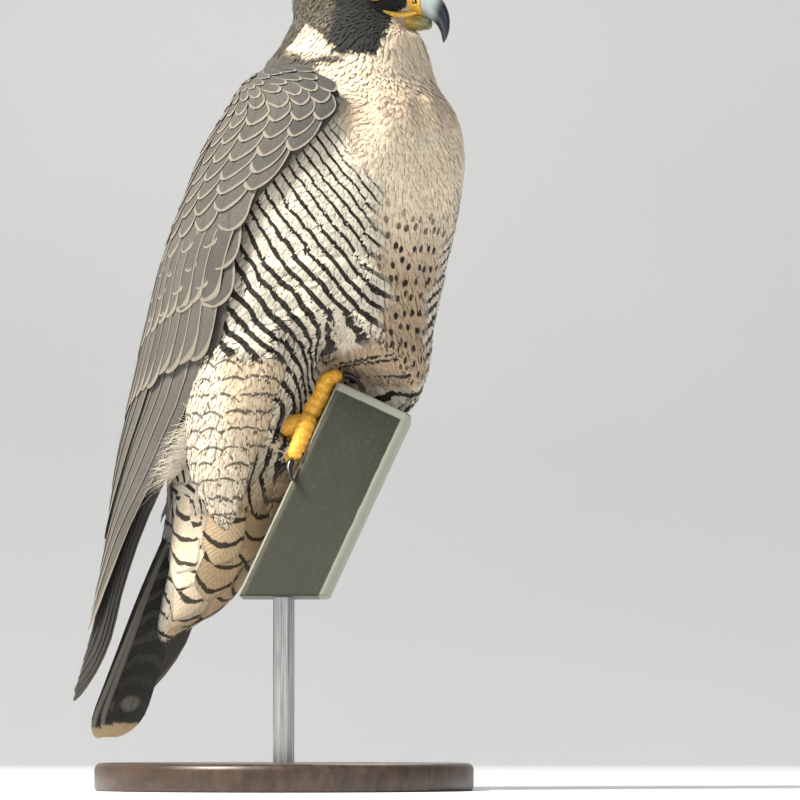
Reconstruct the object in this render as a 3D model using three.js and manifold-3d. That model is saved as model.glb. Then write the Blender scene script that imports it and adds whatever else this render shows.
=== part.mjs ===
// A peregrine falcon, life size, gripping a cut length of steel box section on a plain display stand.
// Millimetres, +Z up. The bird faces +X with its right side towards -Y. The origin is the centre of the
// underside of the stand's base.
import * as THREE from "three";
import { mergeVertices } from "three/addons/utils/BufferGeometryUtils.js";
import Module from "manifold-3d";

const wasm = await Module();
wasm.setup();

// Driving dimensions
const GAP = 0.3; // kept between neighbouring pieces
const SQUARENESS = 2.3; // exponent of the superellipse that each level of the body follows
const HEAD = { x: 44, y: 1, z: 401.5, turn: 20 }; // middle of the skull, degrees turned to the left
const EYE = { x: 19.5, y: 18.2, z: 1.5, radius: 7.4 };
const LID = { radius: 6.8, thick: 1.7, turn: 18, forward: 1.2, out: 4 };
const TAIL = { x: -57.5, z: 160, length: 150, lean: 26.4 }; // root, length from there, lean from upright
const VIEW_TURN = 40; // the steel's broad face is turned this far round from the bird's right side
const STEEL = { width: 41, depth: 58, length: 150, lean: 24.9, round: 4, topU: 46, topW: 14, topZ: 196 };
const FEET_APART = 34;
const VANE_THICK = 0.8;
const NECK_FOOT = 350; // height of the cut between torso and neck
const BASE = { radius: 96, thick: 14, chamfer: 2.5 };
const ROD = { radius: 5, apart: 32 };

// Levels of the body from the vent up to the neck: height, front, back and half width
const TORSO = [
  [75, -80, -88, 0],
  [80, -74, -90, 6],
  [95, -45, -84.5, 14],
  [108, -33, -78, 19],
  [123, -20, -71, 23.5],
  [150, -4, -70, 30],
  [172, 28, -71, 37],
  [190, 69, -70, 44],
  [210, 80, -66, 52],
  [235, 82, -60, 57],
  [262, 88, -49, 59.5],
  [290, 96, -37, 60.5],
  [318, 101, -23, 59],
  [338, 98, -12, 53],
  [352, 90, -5, 44],
  [364, 80, 2, 33],
  [370, 60, 20, 0],
];

// The neck from the shoulders into the head, in the same terms
const NECK = [
  [340, 60, 20, 0],
  [345, 91, -8, 47],
  [352, 89, -6, 44],
  [360, 88, -4, 40],
  [370, 87, -1, 34],
  [377, 87, 4, 31],
  [383, 79, 8, 29],
  [392, 70, 15, 23],
  [403, 50, 35, 0],
];

// The mantle of folded wings round the body, from the wing tips up to the shoulders
const MANTLE = [
  [40, -119, -148, 27],
  [70, -86, -129, 33],
  [100, -69, -115, 37],
  [137, -42, -101.5, 44],
  [172, -2, -94, 51],
  [205, 40, -83, 57],
  [240, 76, -71, 62],
  [275, 95, -57, 65.5],
  [300, 103, -43, 66.5],
  [322, 107, -31, 65],
  [340, 105, -18, 60],
  [354, 98, -10, 52],
  [364, 88, -4, 42],
];

// The skull along its own axis: distance forward, top, bottom and half width
const SKULL = [
  [-30.5, 0, -6, 0],
  [-28, 11, -17, 12],
  [-20, 21, -25, 21.5],
  [-8, 26, -29, 26],
  [5, 26.5, -30, 27],
  [16, 23, -28, 24.5],
  [24, 17.5, -23, 18],
  [30, 11.5, -18, 11.5],
  [34, 7, -15, 8.5],
  [36, 2, -10, 0],
];

// The bill in the skull's frame, from the cere to the point of the hook: centre forward and up, half
// height across the bend, half width
const UPPER_BILL = [
  [27, -3, 7, 8],
  [33, -4, 8.4, 8.2],
  [40, -6, 7.4, 7],
  [45.5, -10, 6, 5.2],
  [48.6, -15, 4.2, 3.6],
  [49.8, -20.5, 2.3, 2],
  [49.2, -26.5, 0.5, 0.5],
];
const LOWER_BILL = [
  [26, -14.3, 3.4, 6.8],
  [32, -15, 4, 6.6],
  [38, -15.8, 4, 5.4],
  [42.8, -16.8, 2.4, 3.2],
];
const CERE_FRONT = 39;

const rad = THREE.MathUtils.degToRad;
const lerp = THREE.MathUtils.lerp;

// Draws repeatable numbers from 0 to 1
function seeded(seed) {
  let state = seed;
  return () => {
    state = (state * 1664525 + 1013904223) % 4294967296;
    return state / 4294967296;
  };
}

// Reads a table of stations at a value of its first column, smoothly and without overshoot
function readTable(table, at) {
  const last = table.length - 1;
  let k = 0;
  while (k < last - 1 && at > table[k + 1][0]) k += 1;
  const [a, b] = [table[k], table[k + 1]];
  const span = b[0] - a[0];
  const t = THREE.MathUtils.clamp((at - a[0]) / span, 0, 1);
  return a.slice(1).map((value, i) => {
    const column = i + 1;
    const step = (b[column] - a[column]) / span;
    const slope = (low, high) =>
      low < 0 || high > last ? step : limited(step, (table[high][column] - table[low][column]) /
        (table[high][0] - table[low][0]));
    const m0 = slope(k - 1, k + 1) * span;
    const m1 = slope(k, k + 2) * span;
    return (
      (2 * t ** 3 - 3 * t ** 2 + 1) * value +
      (t ** 3 - 2 * t ** 2 + t) * m0 +
      (3 * t ** 2 - 2 * t ** 3) * b[column] +
      (t ** 3 - t ** 2) * m1
    );
  });
}

// Keeps a slope within three times the step beside it, and level where the two disagree
function limited(step, slope) {
  if (step * slope <= 0) return 0;
  return Math.sign(step) * Math.min(Math.abs(slope), 3 * Math.abs(step));
}

// Joining and cutting. A solid's faces point out whichever way its geometry was warped.
function solid(geometry) {
  const bare = geometry.clone();
  bare.deleteAttribute("normal");
  bare.deleteAttribute("uv");
  const merged = mergeVertices(bare, 1e-4);
  const made = (triVerts) =>
    new wasm.Manifold(
      new wasm.Mesh({
        numProp: 3,
        vertProperties: new Float32Array(merged.attributes.position.array),
        triVerts: new Uint32Array(triVerts),
      }),
    );
  const body = made(merged.index.array);
  return body.volume() < 0 ? made([...merged.index.array].reverse()) : body;
}

function geometryOf(body) {
  const { vertProperties, triVerts } = body.getMesh();
  const geometry = new THREE.BufferGeometry();
  geometry.setAttribute("position", new THREE.BufferAttribute(vertProperties, 3));
  geometry.setIndex(new THREE.BufferAttribute(triVerts, 1));
  return geometry;
}

// The largest closed surface, which drops sealed hollows and loose scraps
function largest(body) {
  const pieces = body.decompose();
  return pieces.reduce((best, piece) => (piece.volume() > best.volume() ? piece : best));
}

function union(bodies) {
  return bodies.reduce((sum, body) => sum.add(body));
}

function without(body, ...cutters) {
  return cutters.reduce((rest, cutter) => rest.subtract(cutter), body);
}

// Moves each vertex of a geometry to where a function sends it
function warp(geometry, move) {
  const position = geometry.attributes.position;
  const vertex = new THREE.Vector3();
  for (let i = 0; i < position.count; i += 1) {
    vertex.fromBufferAttribute(position, i);
    const { x, y, z } = move(vertex);
    position.setXYZ(i, x, y, z);
  }
  return geometry;
}

// A unit ball whose poles lie on Z, warped by turn (radians round Z) and share (0 bottom to 1 top)
function warpBall(around, along, move) {
  const ball = new THREE.SphereGeometry(1, around, along);
  ball.rotateX(Math.PI / 2);
  return solid(
    warp(ball, (v) => {
      const share = 1 - Math.acos(THREE.MathUtils.clamp(v.z, -1, 1)) / Math.PI;
      const round = share < 1e-6 || share > 1 - 1e-6 ? 0 : Math.atan2(v.y, v.x);
      return move(round, share);
    }),
  );
}

const power = (value, exponent) => Math.sign(value) * Math.abs(value) ** exponent;

// A point on a level of the body. Turn is 0 on the right side, 90 at the front and -90 at the back.
function levelPoint(table, height, turn, grow = 0) {
  const [front, back, half] = readTable(table, height);
  const middle = (front + back) / 2;
  const length = Math.abs(front - back) / 2;
  const exponent = 2 / SQUARENESS;
  const swell = half > 0.01 ? grow : 0;
  return new THREE.Vector3(
    middle + power(Math.sin(turn), exponent) * (half > 0.01 ? length + swell : 0),
    -power(Math.cos(turn), exponent) * (half + swell),
    height,
  );
}

// A closed body through the levels of a table
function levelBody(table, around, along, grow = 0) {
  const low = table[0][0] - grow;
  const high = table[table.length - 1][0] + grow;
  return warpBall(around, along, (round, share) => levelPoint(table, lerp(low, high, share), round, grow));
}

const width = (station) => station.wide ?? station.thick;

// A tapering limb along a smooth line of stations, each a point and its two half thicknesses
function limb(stations, around, along, grow = 0) {
  const path = new THREE.CatmullRomCurve3(stations.map((s) => s.at), false, "centripetal");
  const last = stations.length - 1;
  return warpBall(around, along, (round, share) => {
    const k = Math.min(Math.floor(share * last), last - 1);
    const t = share * last - k;
    const thick = lerp(stations[k].thick, stations[k + 1].thick, t) + grow;
    const wide = lerp(width(stations[k]), width(stations[k + 1]), t) + grow;
    const end = Math.sqrt(Math.max(0, 1 - Math.max(0, 1 - Math.min(share, 1 - share) * along) ** 2));
    const ahead = path.getTangent(share);
    const side = new THREE.Vector3().crossVectors(stations[0].up, ahead).normalize();
    const up = new THREE.Vector3().crossVectors(ahead, side);
    return path
      .getPoint(share)
      .addScaledVector(ahead, grow * (2 * share - 1))
      .addScaledVector(side, -Math.sin(round) * wide * end)
      .addScaledVector(up, Math.cos(round) * thick * end);
  });
}

// A thin closed sheet between an outer and an inner face, which are split into triangles alike
function sheet(outer, inner, across, along) {
  const points = [];
  for (const face of [outer, inner])
    for (let j = 0; j <= along; j += 1)
      for (let i = 0; i <= across; i += 1) points.push(face(i / across, j / along));
  const half = (across + 1) * (along + 1);
  const at = (i, j, face) => face * half + j * (across + 1) + i;
  const index = [];
  const quad = (a, b, c, d) => index.push(a, b, c, a, c, d);
  for (let j = 0; j < along; j += 1)
    for (let i = 0; i < across; i += 1) {
      quad(at(i, j, 0), at(i + 1, j, 0), at(i + 1, j + 1, 0), at(i, j + 1, 0));
      index.push(at(i, j, 1), at(i + 1, j + 1, 1), at(i + 1, j, 1));
      index.push(at(i, j, 1), at(i, j + 1, 1), at(i + 1, j + 1, 1));
    }
  for (let i = 0; i < across; i += 1) {
    quad(at(i, 0, 1), at(i + 1, 0, 1), at(i + 1, 0, 0), at(i, 0, 0));
    quad(at(i, along, 0), at(i + 1, along, 0), at(i + 1, along, 1), at(i, along, 1));
  }
  for (let j = 0; j < along; j += 1) {
    quad(at(0, j, 0), at(0, j + 1, 0), at(0, j + 1, 1), at(0, j, 1));
    quad(at(across, j, 1), at(across, j + 1, 1), at(across, j + 1, 0), at(across, j, 0));
  }
  const geometry = new THREE.BufferGeometry();
  geometry.setAttribute("position", new THREE.Float32BufferAttribute(points.flatMap((p) => p.toArray()), 3));
  geometry.setIndex(index);
  return solid(geometry);
}

// Width of a vane along its length: narrow at the root, broad, then a rounded tip
function vaneWidth(share) {
  const grown = 0.5 + 0.5 * Math.sin((Math.min(share, 0.55) / 0.55) * (Math.PI / 2));
  const tip = 1 - Math.max(0, (share - 0.7) / 0.3) ** 2.4;
  return grown * Math.sqrt(Math.max(0.04, tip));
}

// Stations along a vane, closer together towards the rounded tip
const VANE_STEPS = [0, 0.32, 0.66, 0.88, 1];

// A feather as a thin blade. Place gives the point at a share of its length, a distance across it and a
// rise out of the surface that it lies on. Tilt raises one edge over the next feather.
function vane(place, half, tilt = 0, camber = 0, across = 2) {
  const steps = VANE_STEPS.length - 1;
  const face = (depth) => (i, j) => {
    const share = VANE_STEPS[Math.round(j * steps)];
    const reach = (i * 2 - 1) * half * vaneWidth(share);
    return place(share, reach, tilt * reach - camber * reach * reach - depth * VANE_THICK);
  };
  return sheet(face(0), face(1), across, steps);
}

// The skull's frame in the bird's
const headFrame = new THREE.Matrix4()
  .makeTranslation(HEAD.x, HEAD.y, HEAD.z)
  .multiply(new THREE.Matrix4().makeRotationZ(rad(HEAD.turn)));

// Places a body made in the skull's frame
function onHead(body) {
  return body.transform(headFrame.elements);
}

// Head
function skullBody(grow = 0) {
  const first = SKULL[0][0] - grow;
  const end = SKULL[SKULL.length - 1][0] + grow;
  return warpBall(26, 18, (round, share) => {
    const x = lerp(first, end, share);
    const [top, bottom, half] = readTable(SKULL, x);
    const swell = half > 0.01 ? grow : 0;
    const tall = half > 0.01 ? (top - bottom) / 2 + swell : 0;
    return new THREE.Vector3(
      x,
      Math.sin(round) * (half + swell),
      (top + bottom) / 2 + Math.cos(round) * tall,
    );
  });
}

// A ball at the eye on one side of the head, 1 left and -1 right
function eyeBall(side, radius) {
  const ball = new THREE.SphereGeometry(radius, 16, 9);
  ball.rotateX(Math.PI / 2);
  ball.translate(EYE.x, side * EYE.y, EYE.z);
  return solid(ball);
}

// The lids as a ring that stands out round the eye
function eyeRing(side) {
  const ring = new THREE.TorusGeometry(LID.radius, LID.thick, 5, 16);
  ring.rotateX(Math.PI / 2);
  ring.rotateZ(side * rad(-LID.turn));
  ring.translate(EYE.x + LID.forward, side * (EYE.y + LID.out), EYE.z);
  return solid(ring);
}

// A half of the bill. Its bend lies in the plane of the skull's axis.
function billBody(table, grow = 0) {
  const up = new THREE.Vector3(0, 1, 0);
  const stations = table.map(([x, z, tall, broad]) => ({
    at: new THREE.Vector3(x, 0, z),
    thick: broad,
    wide: tall,
    up,
  }));
  return limb(stations, 12, 12, grow);
}

// A slab across the skull's axis, to split the bill
function slab(from, to) {
  const box = new THREE.BoxGeometry(to - from, 80, 80);
  box.translate((from + to) / 2, 0, -10);
  return solid(box);
}

// A round nostril with the small cone that stands in the middle of it
const NOSTRIL = { x: 35.6, y: 8.4, z: -4.5, radius: 1.5, deep: 6 };
const NOSTRIL_CONE = { y: 6.6, radius: 0.7, tall: 3.4 };

function nostril(side) {
  const hole = new THREE.CylinderGeometry(NOSTRIL.radius, NOSTRIL.radius, NOSTRIL.deep, 12);
  hole.translate(NOSTRIL.x, side * NOSTRIL.y, NOSTRIL.z);
  const cone = new THREE.ConeGeometry(NOSTRIL_CONE.radius, NOSTRIL_CONE.tall, 8);
  cone.rotateX(side > 0 ? 0 : Math.PI);
  cone.translate(NOSTRIL.x, side * NOSTRIL_CONE.y, NOSTRIL.z);
  return solid(hole).subtract(solid(cone));
}

// Body
const torsoBody = (grow = 0) => levelBody(TORSO, 26, 22, grow);

// Frame of the steel: u runs to the right of its broad face, w out of that face
const steelRight = new THREE.Vector3(Math.cos(rad(VIEW_TURN)), Math.sin(rad(VIEW_TURN)), 0);
const steelOut = new THREE.Vector3(Math.sin(rad(VIEW_TURN)), -Math.cos(rad(VIEW_TURN)), 0);
const steelAlong = steelRight.clone().multiplyScalar(Math.sin(rad(STEEL.lean)));
steelAlong.z = Math.cos(rad(STEEL.lean));
const steelAcross = steelRight.clone().multiplyScalar(Math.cos(rad(STEEL.lean)));
steelAcross.z = -Math.sin(rad(STEEL.lean));

// A point given in the steel's own frame: across and out of its middle, and down from its top end
function steelPoint(across, out, down) {
  return steelRight
    .clone()
    .multiplyScalar(STEEL.topU)
    .addScaledVector(steelOut, STEEL.topW + out)
    .addScaledVector(steelAlong, -down)
    .addScaledVector(steelAcross, across)
    .add(new THREE.Vector3(0, 0, STEEL.topZ));
}

function steelBody(grow = 0) {
  const outline = new THREE.Shape();
  const [w, d, r] = [STEEL.width / 2 + grow, STEEL.depth / 2 + grow, STEEL.round];
  outline.moveTo(-w + r, -d);
  outline.lineTo(w - r, -d);
  outline.absarc(w - r, -d + r, r, -Math.PI / 2, 0);
  outline.lineTo(w, d - r);
  outline.absarc(w - r, d - r, r, 0, Math.PI / 2);
  outline.lineTo(-w + r, d);
  outline.absarc(-w + r, d - r, r, Math.PI / 2, Math.PI);
  outline.lineTo(-w, -d + r);
  outline.absarc(-w + r, -d + r, r, Math.PI, Math.PI * 1.5);
  const bar = new THREE.ExtrudeGeometry(outline, {
    depth: STEEL.length + grow,
    bevelEnabled: false,
    curveSegments: 4,
  });
  return solid(warp(bar, (v) => steelPoint(v.x, v.y, v.z - grow)));
}

// The lower end of the steel is cut level, so that the rods meet it squarely
const steelFoot = STEEL.topZ - (STEEL.length - STEEL.width) * Math.cos(rad(STEEL.lean));
// A thigh's loose feathers, down to their tip
function thighBody(side, grow = 0) {
  const up = new THREE.Vector3(0, 0, 1);
  const stations = [
    { at: new THREE.Vector3(18, side * 33, 238), thick: 20, wide: 18, up: new THREE.Vector3(1, 0, 0) },
    { at: new THREE.Vector3(6, side * 40, 212), thick: 27, wide: 19, up },
    { at: new THREE.Vector3(-3, side * 42, 184), thick: 25, wide: 17, up },
    { at: new THREE.Vector3(-7, side * 41, 157), thick: 19, wide: 13, up },
    { at: new THREE.Vector3(-6, side * 38, 130), thick: 5, wide: 4, up },
  ];
  return limb(stations, 14, 10, grow);
}

// A point over a level of a table's body, with a distance out of its surface
function surfacePoint(table, height, turn, out) {
  const step = 0.01;
  const round = levelPoint(table, height, turn + step).sub(levelPoint(table, height, turn - step));
  const up = levelPoint(table, height + 1, turn).sub(levelPoint(table, height - 1, turn));
  return levelPoint(table, height, turn).addScaledVector(round.cross(up).normalize(), out);
}

// The same over the mantle, on the bird's left for a side of 1 and on its right for -1
function mantlePoint(height, turn, out, side) {
  const point = surfacePoint(MANTLE, height, turn, out);
  point.y *= -side;
  return point;
}

// Where the front edge of the folded wing lies, in degrees round the mantle, and its back edge
const WING_FRONT = [
  [40, 6],
  [66, 14],
  [94, 20],
  [152, 24],
  [190, 18],
  [220, 11],
  [262, 4],
  [290, 6],
  [318, 24],
  [336, 34],
  [348, 30],
  [362, 4],
];
const WING_BACK = -85;
const LEFT_TUCK = { turn: 13, from: 280, full: 325 }; // the left wing's bend is held further back
const ARM = { low: 203, high: 361, deep: 7, clear: 0.9 };

// Turn of a wing's front edge at a height, in radians
function wingFront(height, side) {
  const share = THREE.MathUtils.smoothstep(height, LEFT_TUCK.from, LEFT_TUCK.full);
  return rad(readTable(WING_FRONT, height)[0] - (side > 0 ? LEFT_TUCK.turn * share : 0));
}

// How far a radian of turn goes round the mantle at a height
function mantleArc(height) {
  const [front, back, half] = readTable(MANTLE, height);
  return (1.03 * ((front - back) / 2 + half)) / 2;
}

// Rows of feathers in the folded wing, from the foremost feather of a row to the hindmost. Back is the
// distance behind the wing's front edge, and lift is the height over the mantle past the root.
const WING_ROWS = [
  // Primaries
  {
    count: 6,
    rootZ: 224,
    rootBack: [9, 42],
    tipZ: [46, 92],
    tipBack: [4, 33],
    bow: -6,
    half: 6.2,
    lift: -5.9,
    tilt: 0.26,
    across: 2,
  },
  // Secondaries
  {
    count: 8,
    rootZ: 260,
    rootBack: [14, 101],
    tipZ: [94, 200],
    tipBack: [26, 95],
    bow: 0,
    half: 8.8,
    lift: -2.1,
    tilt: 0.12,
    across: 2,
  },
  // Greater coverts
  {
    count: 8,
    rootZ: 276,
    rootBack: [12, 99],
    tipZ: [207, 216],
    tipBack: [11, 96],
    bow: -3,
    half: 9.4,
    lift: 1.4,
    tilt: 0.1,
    across: 1,
  },
];
const ROOT_LIFT = -2.2;

// The arm and its small coverts as one closed sheet over the side of the body
function armBody(side) {
  const face = (depth) => (i, j) => {
    const height = lerp(ARM.low, ARM.high, j);
    const turn = lerp(wingFront(height, side), rad(WING_BACK), i);
    const rim = Math.min(1, 5 * Math.min(i, 1 - i) + 0.35, 5 * Math.min(j, 1 - j) + 0.3);
    const room = levelPoint(MANTLE, height, turn).distanceTo(levelPoint(TORSO, height, turn, ARM.clear));
    return mantlePoint(height, turn, -depth * rim * Math.min(ARM.deep, room), side);
  };
  return sheet(face(0), face(1), 7, 10);
}

// One feather of a row, laid along the mantle from its root to its tip
function wingFeather(side, row, index, draw) {
  const k = index / (row.count - 1);
  const root = { z: row.rootZ, back: lerp(...row.rootBack, k) };
  const tip = {
    z: lerp(...row.tipZ, k) + row.bow * 4 * k * (1 - k) + 3 * (draw() - 0.5),
    back: lerp(...row.tipBack, k),
  };
  const length = Math.hypot(root.z - tip.z, root.back - tip.back);
  const place = (share, reach, rise) => {
    const height = lerp(root.z, tip.z, share) + (reach * (root.back - tip.back)) / length;
    const back = lerp(root.back, tip.back, share) - (reach * (root.z - tip.z)) / length;
    const turn = wingFront(height, side) - back / mantleArc(height);
    const lift = lerp(ROOT_LIFT, row.lift, Math.min(1, share * 2.4));
    return mantlePoint(height, turn, lift + rise, side);
  };
  return vane(place, row.half * (0.96 + 0.08 * draw()), row.tilt, 0, row.across);
}

function wingBody(side) {
  const draw = seeded(7);
  const feathers = WING_ROWS.flatMap((row) =>
    Array.from({ length: row.count }, (_, i) => wingFeather(side, row, i, draw)),
  );
  return union([armBody(side), ...feathers]);
}

// The tail's frame: down along it from its root, to the bird's left, and out over its upper side
const tailDown = new THREE.Vector3(-Math.sin(rad(TAIL.lean)), 0, -Math.cos(rad(TAIL.lean)));
const tailUp = new THREE.Vector3(-Math.cos(rad(TAIL.lean)), 0, Math.sin(rad(TAIL.lean)));
const tailPoint = (down, left, up) =>
  new THREE.Vector3(TAIL.x, left, TAIL.z).addScaledVector(tailDown, down).addScaledVector(tailUp, up);

// Tail feathers on each side, from the middle pair on top to the outermost below. Their inner edges lie
// beside the middle line, and each reaches a little further out than the one above it.
const RECTRICES = { pairs: 6, inner: 0.25, fan: 2, half: 9.8, shorter: 1.7, top: 3.2, step: 1.15 };

function tailFeather(side, pair, draw) {
  const fan = (RECTRICES.fan * pair) / (RECTRICES.pairs - 1);
  const length = TAIL.length - pair * RECTRICES.shorter - 2.5 * draw();
  const level = RECTRICES.top - pair * RECTRICES.step;
  const place = (share, reach, rise) => {
    const left = RECTRICES.half * vaneWidth(share) + RECTRICES.inner + fan * share;
    return tailPoint(lerp(6, length, share), side * left + reach, level + rise);
  };
  return vane(place, RECTRICES.half, 0, 0.003);
}

// The end of the rump that the tail feathers grow from
function rumpBody() {
  const up = new THREE.Vector3(0, 1, 0);
  const stations = [
    { at: tailPoint(-16, 0, 2), thick: 15, wide: 11, up },
    { at: tailPoint(4, 0, 2), thick: 15, wide: 10, up },
    { at: tailPoint(26, 0, 1), thick: 13, wide: 8, up },
    { at: tailPoint(52, 0, 0.5), thick: 8, wide: 5, up },
  ];
  return limb(stations, 14, 8);
}

// The upper tail coverts over the feathers' roots
const TAIL_COVERTS = { count: 5, apart: 6, root: 8, tip: [56, 70], half: 6.2, lift: [4, 6.4] };

function tailCovert(index, draw) {
  const aside = Math.abs(index - (TAIL_COVERTS.count - 1) / 2) / ((TAIL_COVERTS.count - 1) / 2);
  const left = (index - (TAIL_COVERTS.count - 1) / 2) * TAIL_COVERTS.apart;
  const tip = lerp(...TAIL_COVERTS.tip, 1 - aside) + 3 * draw();
  const level = (share) => lerp(...TAIL_COVERTS.lift, share) + (index % 2) * 1.2;
  const place = (share, reach, rise) =>
    tailPoint(lerp(TAIL_COVERTS.root, tip, share), left + reach, level(share) + rise);
  return vane(place, TAIL_COVERTS.half, 0, 0.01, 1);
}

function tailBody() {
  const draw = seeded(11);
  const pieces = [rumpBody()];
  for (const side of [1, -1])
    for (let pair = 0; pair < RECTRICES.pairs; pair += 1) pieces.push(tailFeather(side, pair, draw));
  for (let i = 0; i < TAIL_COVERTS.count; i += 1) pieces.push(tailCovert(i, draw));
  return union(pieces);
}

// The long under tail coverts, laid down the narrowing end of the body from the vent
const VENT_ROWS = [
  { count: 3, root: 122, tip: 84, turn: [35, 145], half: 7, lift: 1.2 },
  { count: 4, root: 150, tip: 92, turn: [0, 180], half: 9, lift: 3 },
];

function ventFeather(row, index, draw) {
  const turn = rad(lerp(...row.turn, index / (row.count - 1)));
  const tip = row.tip + 4 * draw();
  const place = (share, reach, rise) => {
    const height = lerp(row.root, tip, share);
    const [front, back, half] = readTable(TORSO, height);
    const arc = ((front - back) / 2 + half) / 2;
    const lift = lerp(-2.6, row.lift + (index % 2) * 1.2, share);
    return surfacePoint(TORSO, height, turn + reach / arc, lift + rise);
  };
  return vane(place, row.half, 0, 0, 1);
}

// Feet
// Each toe's line from the pad to its claw, and each claw's line, as distances off the steel's near side
// face, towards the foot's outer edge and down from the steel's top
const PAD = [6, 0, 22];
const TOES = [
  {
    line: [PAD, [5, 1, 10], [4.6, 1, 0], [-0.5, 1, -4.8]],
    claw: [[-4.5, 1, -5.6], [-9, 1, -4.6], [-12, 1, -1]],
  },
  {
    line: [PAD, [5, -8, 14], [4.4, -12, 5], [3.6, -14, -2]],
    claw: [[1, -14.5, -5.4], [-4, -15, -5.2], [-8, -15, -1.2]],
  },
  {
    line: [PAD, [5, 6, 27], [4.4, 9, 36], [4, 11.5, 45]],
    claw: [[3.4, 14, 50], [0, 16.5, 54], [-5, 17, 56]],
  },
  {
    line: [PAD, [5.5, -5, 33], [5.4, -7, 41], [6, -8, 47]],
    claw: [[8, -8, 51.5], [9, -7.5, 56], [7, -7, 61]],
  },
];
const TOE_THICK = [5, 4.5, 4.2, 3.4];
const CLAW_THICK = [2.6, 1.9, 1.2, 0.4];
const SHANK = { ankle: [0, 26, 178], knee: [-18, 32, 192], thick: 4.6 };

// A point beside the steel where a foot grips it, 1 for the left foot and -1 for the right
function gripPoint([off, towards, down], side) {
  return steelPoint(-STEEL.width / 2 - off, -side * (FEET_APART / 2 + towards), down);
}

function gripLine(points, side, sizes) {
  return points.map((point, i) => ({ at: gripPoint(point, side), thick: sizes[i], up: steelOut }));
}

function shankLine(side) {
  return [
    { at: gripPoint(PAD, side), thick: SHANK.thick, up: steelOut },
    { at: new THREE.Vector3(SHANK.ankle[0], side * SHANK.ankle[1], SHANK.ankle[2]), thick: SHANK.thick },
    { at: new THREE.Vector3(SHANK.knee[0], side * SHANK.knee[1], SHANK.knee[2]), thick: SHANK.thick },
  ];
}

function footBody(side, grow = 0) {
  const toes = TOES.map((toe) => limb(gripLine(toe.line, side, TOE_THICK), 8, 7, grow));
  return union([...toes, limb(shankLine(side), 8, 6, grow)]);
}

function clawBody(side, toe, grow = 0) {
  const points = [toe.line[toe.line.length - 1], ...toe.claw];
  return limb(gripLine(points, side, CLAW_THICK), 6, 6, grow);
}

// The hollow among the belly's feathers where a foot comes out
const HOLLOW_ROOM = 3.5;

function footHollow(side) {
  const stations = [
    { at: gripPoint([2, 0, -14], side), thick: 14, wide: 11, up: steelOut },
    { at: gripPoint([1, 0, 20], side), thick: 22, wide: 15, up: steelOut },
    { at: gripPoint([1, 4, 66], side), thick: 18, wide: 12, up: steelOut },
  ];
  const claws = TOES.map((toe) => clawBody(side, toe, GAP));
  return union([limb(stations, 8, 5), limb(shankLine(side), 6, 5, HOLLOW_ROOM), ...claws]);
}

// Stand
function baseBody() {
  const { radius, thick, chamfer } = BASE;
  const profile = [
    new THREE.Vector2(0, 0),
    new THREE.Vector2(radius, 0),
    new THREE.Vector2(radius, thick - chamfer),
    new THREE.Vector2(radius - chamfer, thick),
    new THREE.Vector2(0, thick),
  ];
  const disc = new THREE.LatheGeometry(profile, 48);
  disc.rotateX(Math.PI / 2);
  return solid(disc);
}

function rodBody(apart) {
  const top = steelFoot - GAP;
  const bottom = BASE.thick + GAP;
  const rod = new THREE.CylinderGeometry(ROD.radius, ROD.radius, top - bottom, 16);
  rod.rotateX(Math.PI / 2);
  const foot = steelPoint(0, apart, STEEL.length - STEEL.width);
  rod.translate(foot.x, foot.y, (top + bottom) / 2);
  return solid(rod);
}

// Puts the pieces together
const falcon = new THREE.Group();

function add(name, body, color, roughness, metalness = 0) {
  const kept = largest(body);
  const material = new THREE.MeshStandardMaterial({ color, roughness, metalness });
  const mesh = new THREE.Mesh(geometryOf(kept), material);
  mesh.name = name;
  falcon.add(mesh);
  return kept;
}

const steelSpace = steelBody(GAP);
const sides = [["left", 1], ["right", -1]];

// Everything above or below a level, to part the neck from the torso and to cut the steel
function halfSpace(height, above) {
  const box = new THREE.BoxGeometry(600, 600, 600);
  box.translate(0, 0, height + (above ? 300 : -300));
  return solid(box);
}

// Head and neck
const skull = union([skullBody(), eyeRing(1), eyeRing(-1)]);
const head = without(skull, eyeBall(1, EYE.radius + GAP), eyeBall(-1, EYE.radius + GAP),
  billBody(UPPER_BILL, GAP), billBody(LOWER_BILL, GAP));
const headSpace = onHead(skullBody(GAP));
const mandibleSpace = onHead(billBody(LOWER_BILL, GAP));
const neck = without(levelBody(NECK, 26, 11), headSpace, mandibleSpace, halfSpace(NECK_FOOT + GAP, false));
add("head", onHead(head), 0x3c3c32, 0.9);
add("neck", neck, 0xe8dcc4, 0.9);
for (const [name, side] of sides) add("eye_" + name, onHead(eyeBall(side, EYE.radius)), 0x1c120c, 0.1);
const upperBill = billBody(UPPER_BILL);
const cere = without(upperBill, slab(CERE_FRONT, 80), nostril(1), nostril(-1));
add("cere", onHead(cere), 0xf0be3c, 0.5);
add("bill_upper", onHead(without(upperBill, slab(-50, CERE_FRONT + GAP))), 0x5a6470, 0.35);
add("bill_lower", onHead(without(billBody(LOWER_BILL), billBody(UPPER_BILL, GAP))), 0xd8c070, 0.4);

// Feet and claws
for (const [name, side] of sides) {
  add("foot_" + name, without(footBody(side), steelSpace, thighBody(side, GAP)), 0xfabe46, 0.6);
  TOES.forEach((toe, i) => {
    const claw = without(clawBody(side, toe), footBody(side, GAP), steelSpace);
    add("claw_" + name + "_" + (i + 1), claw, 0x1c1a18, 0.3);
  });
}

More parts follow.
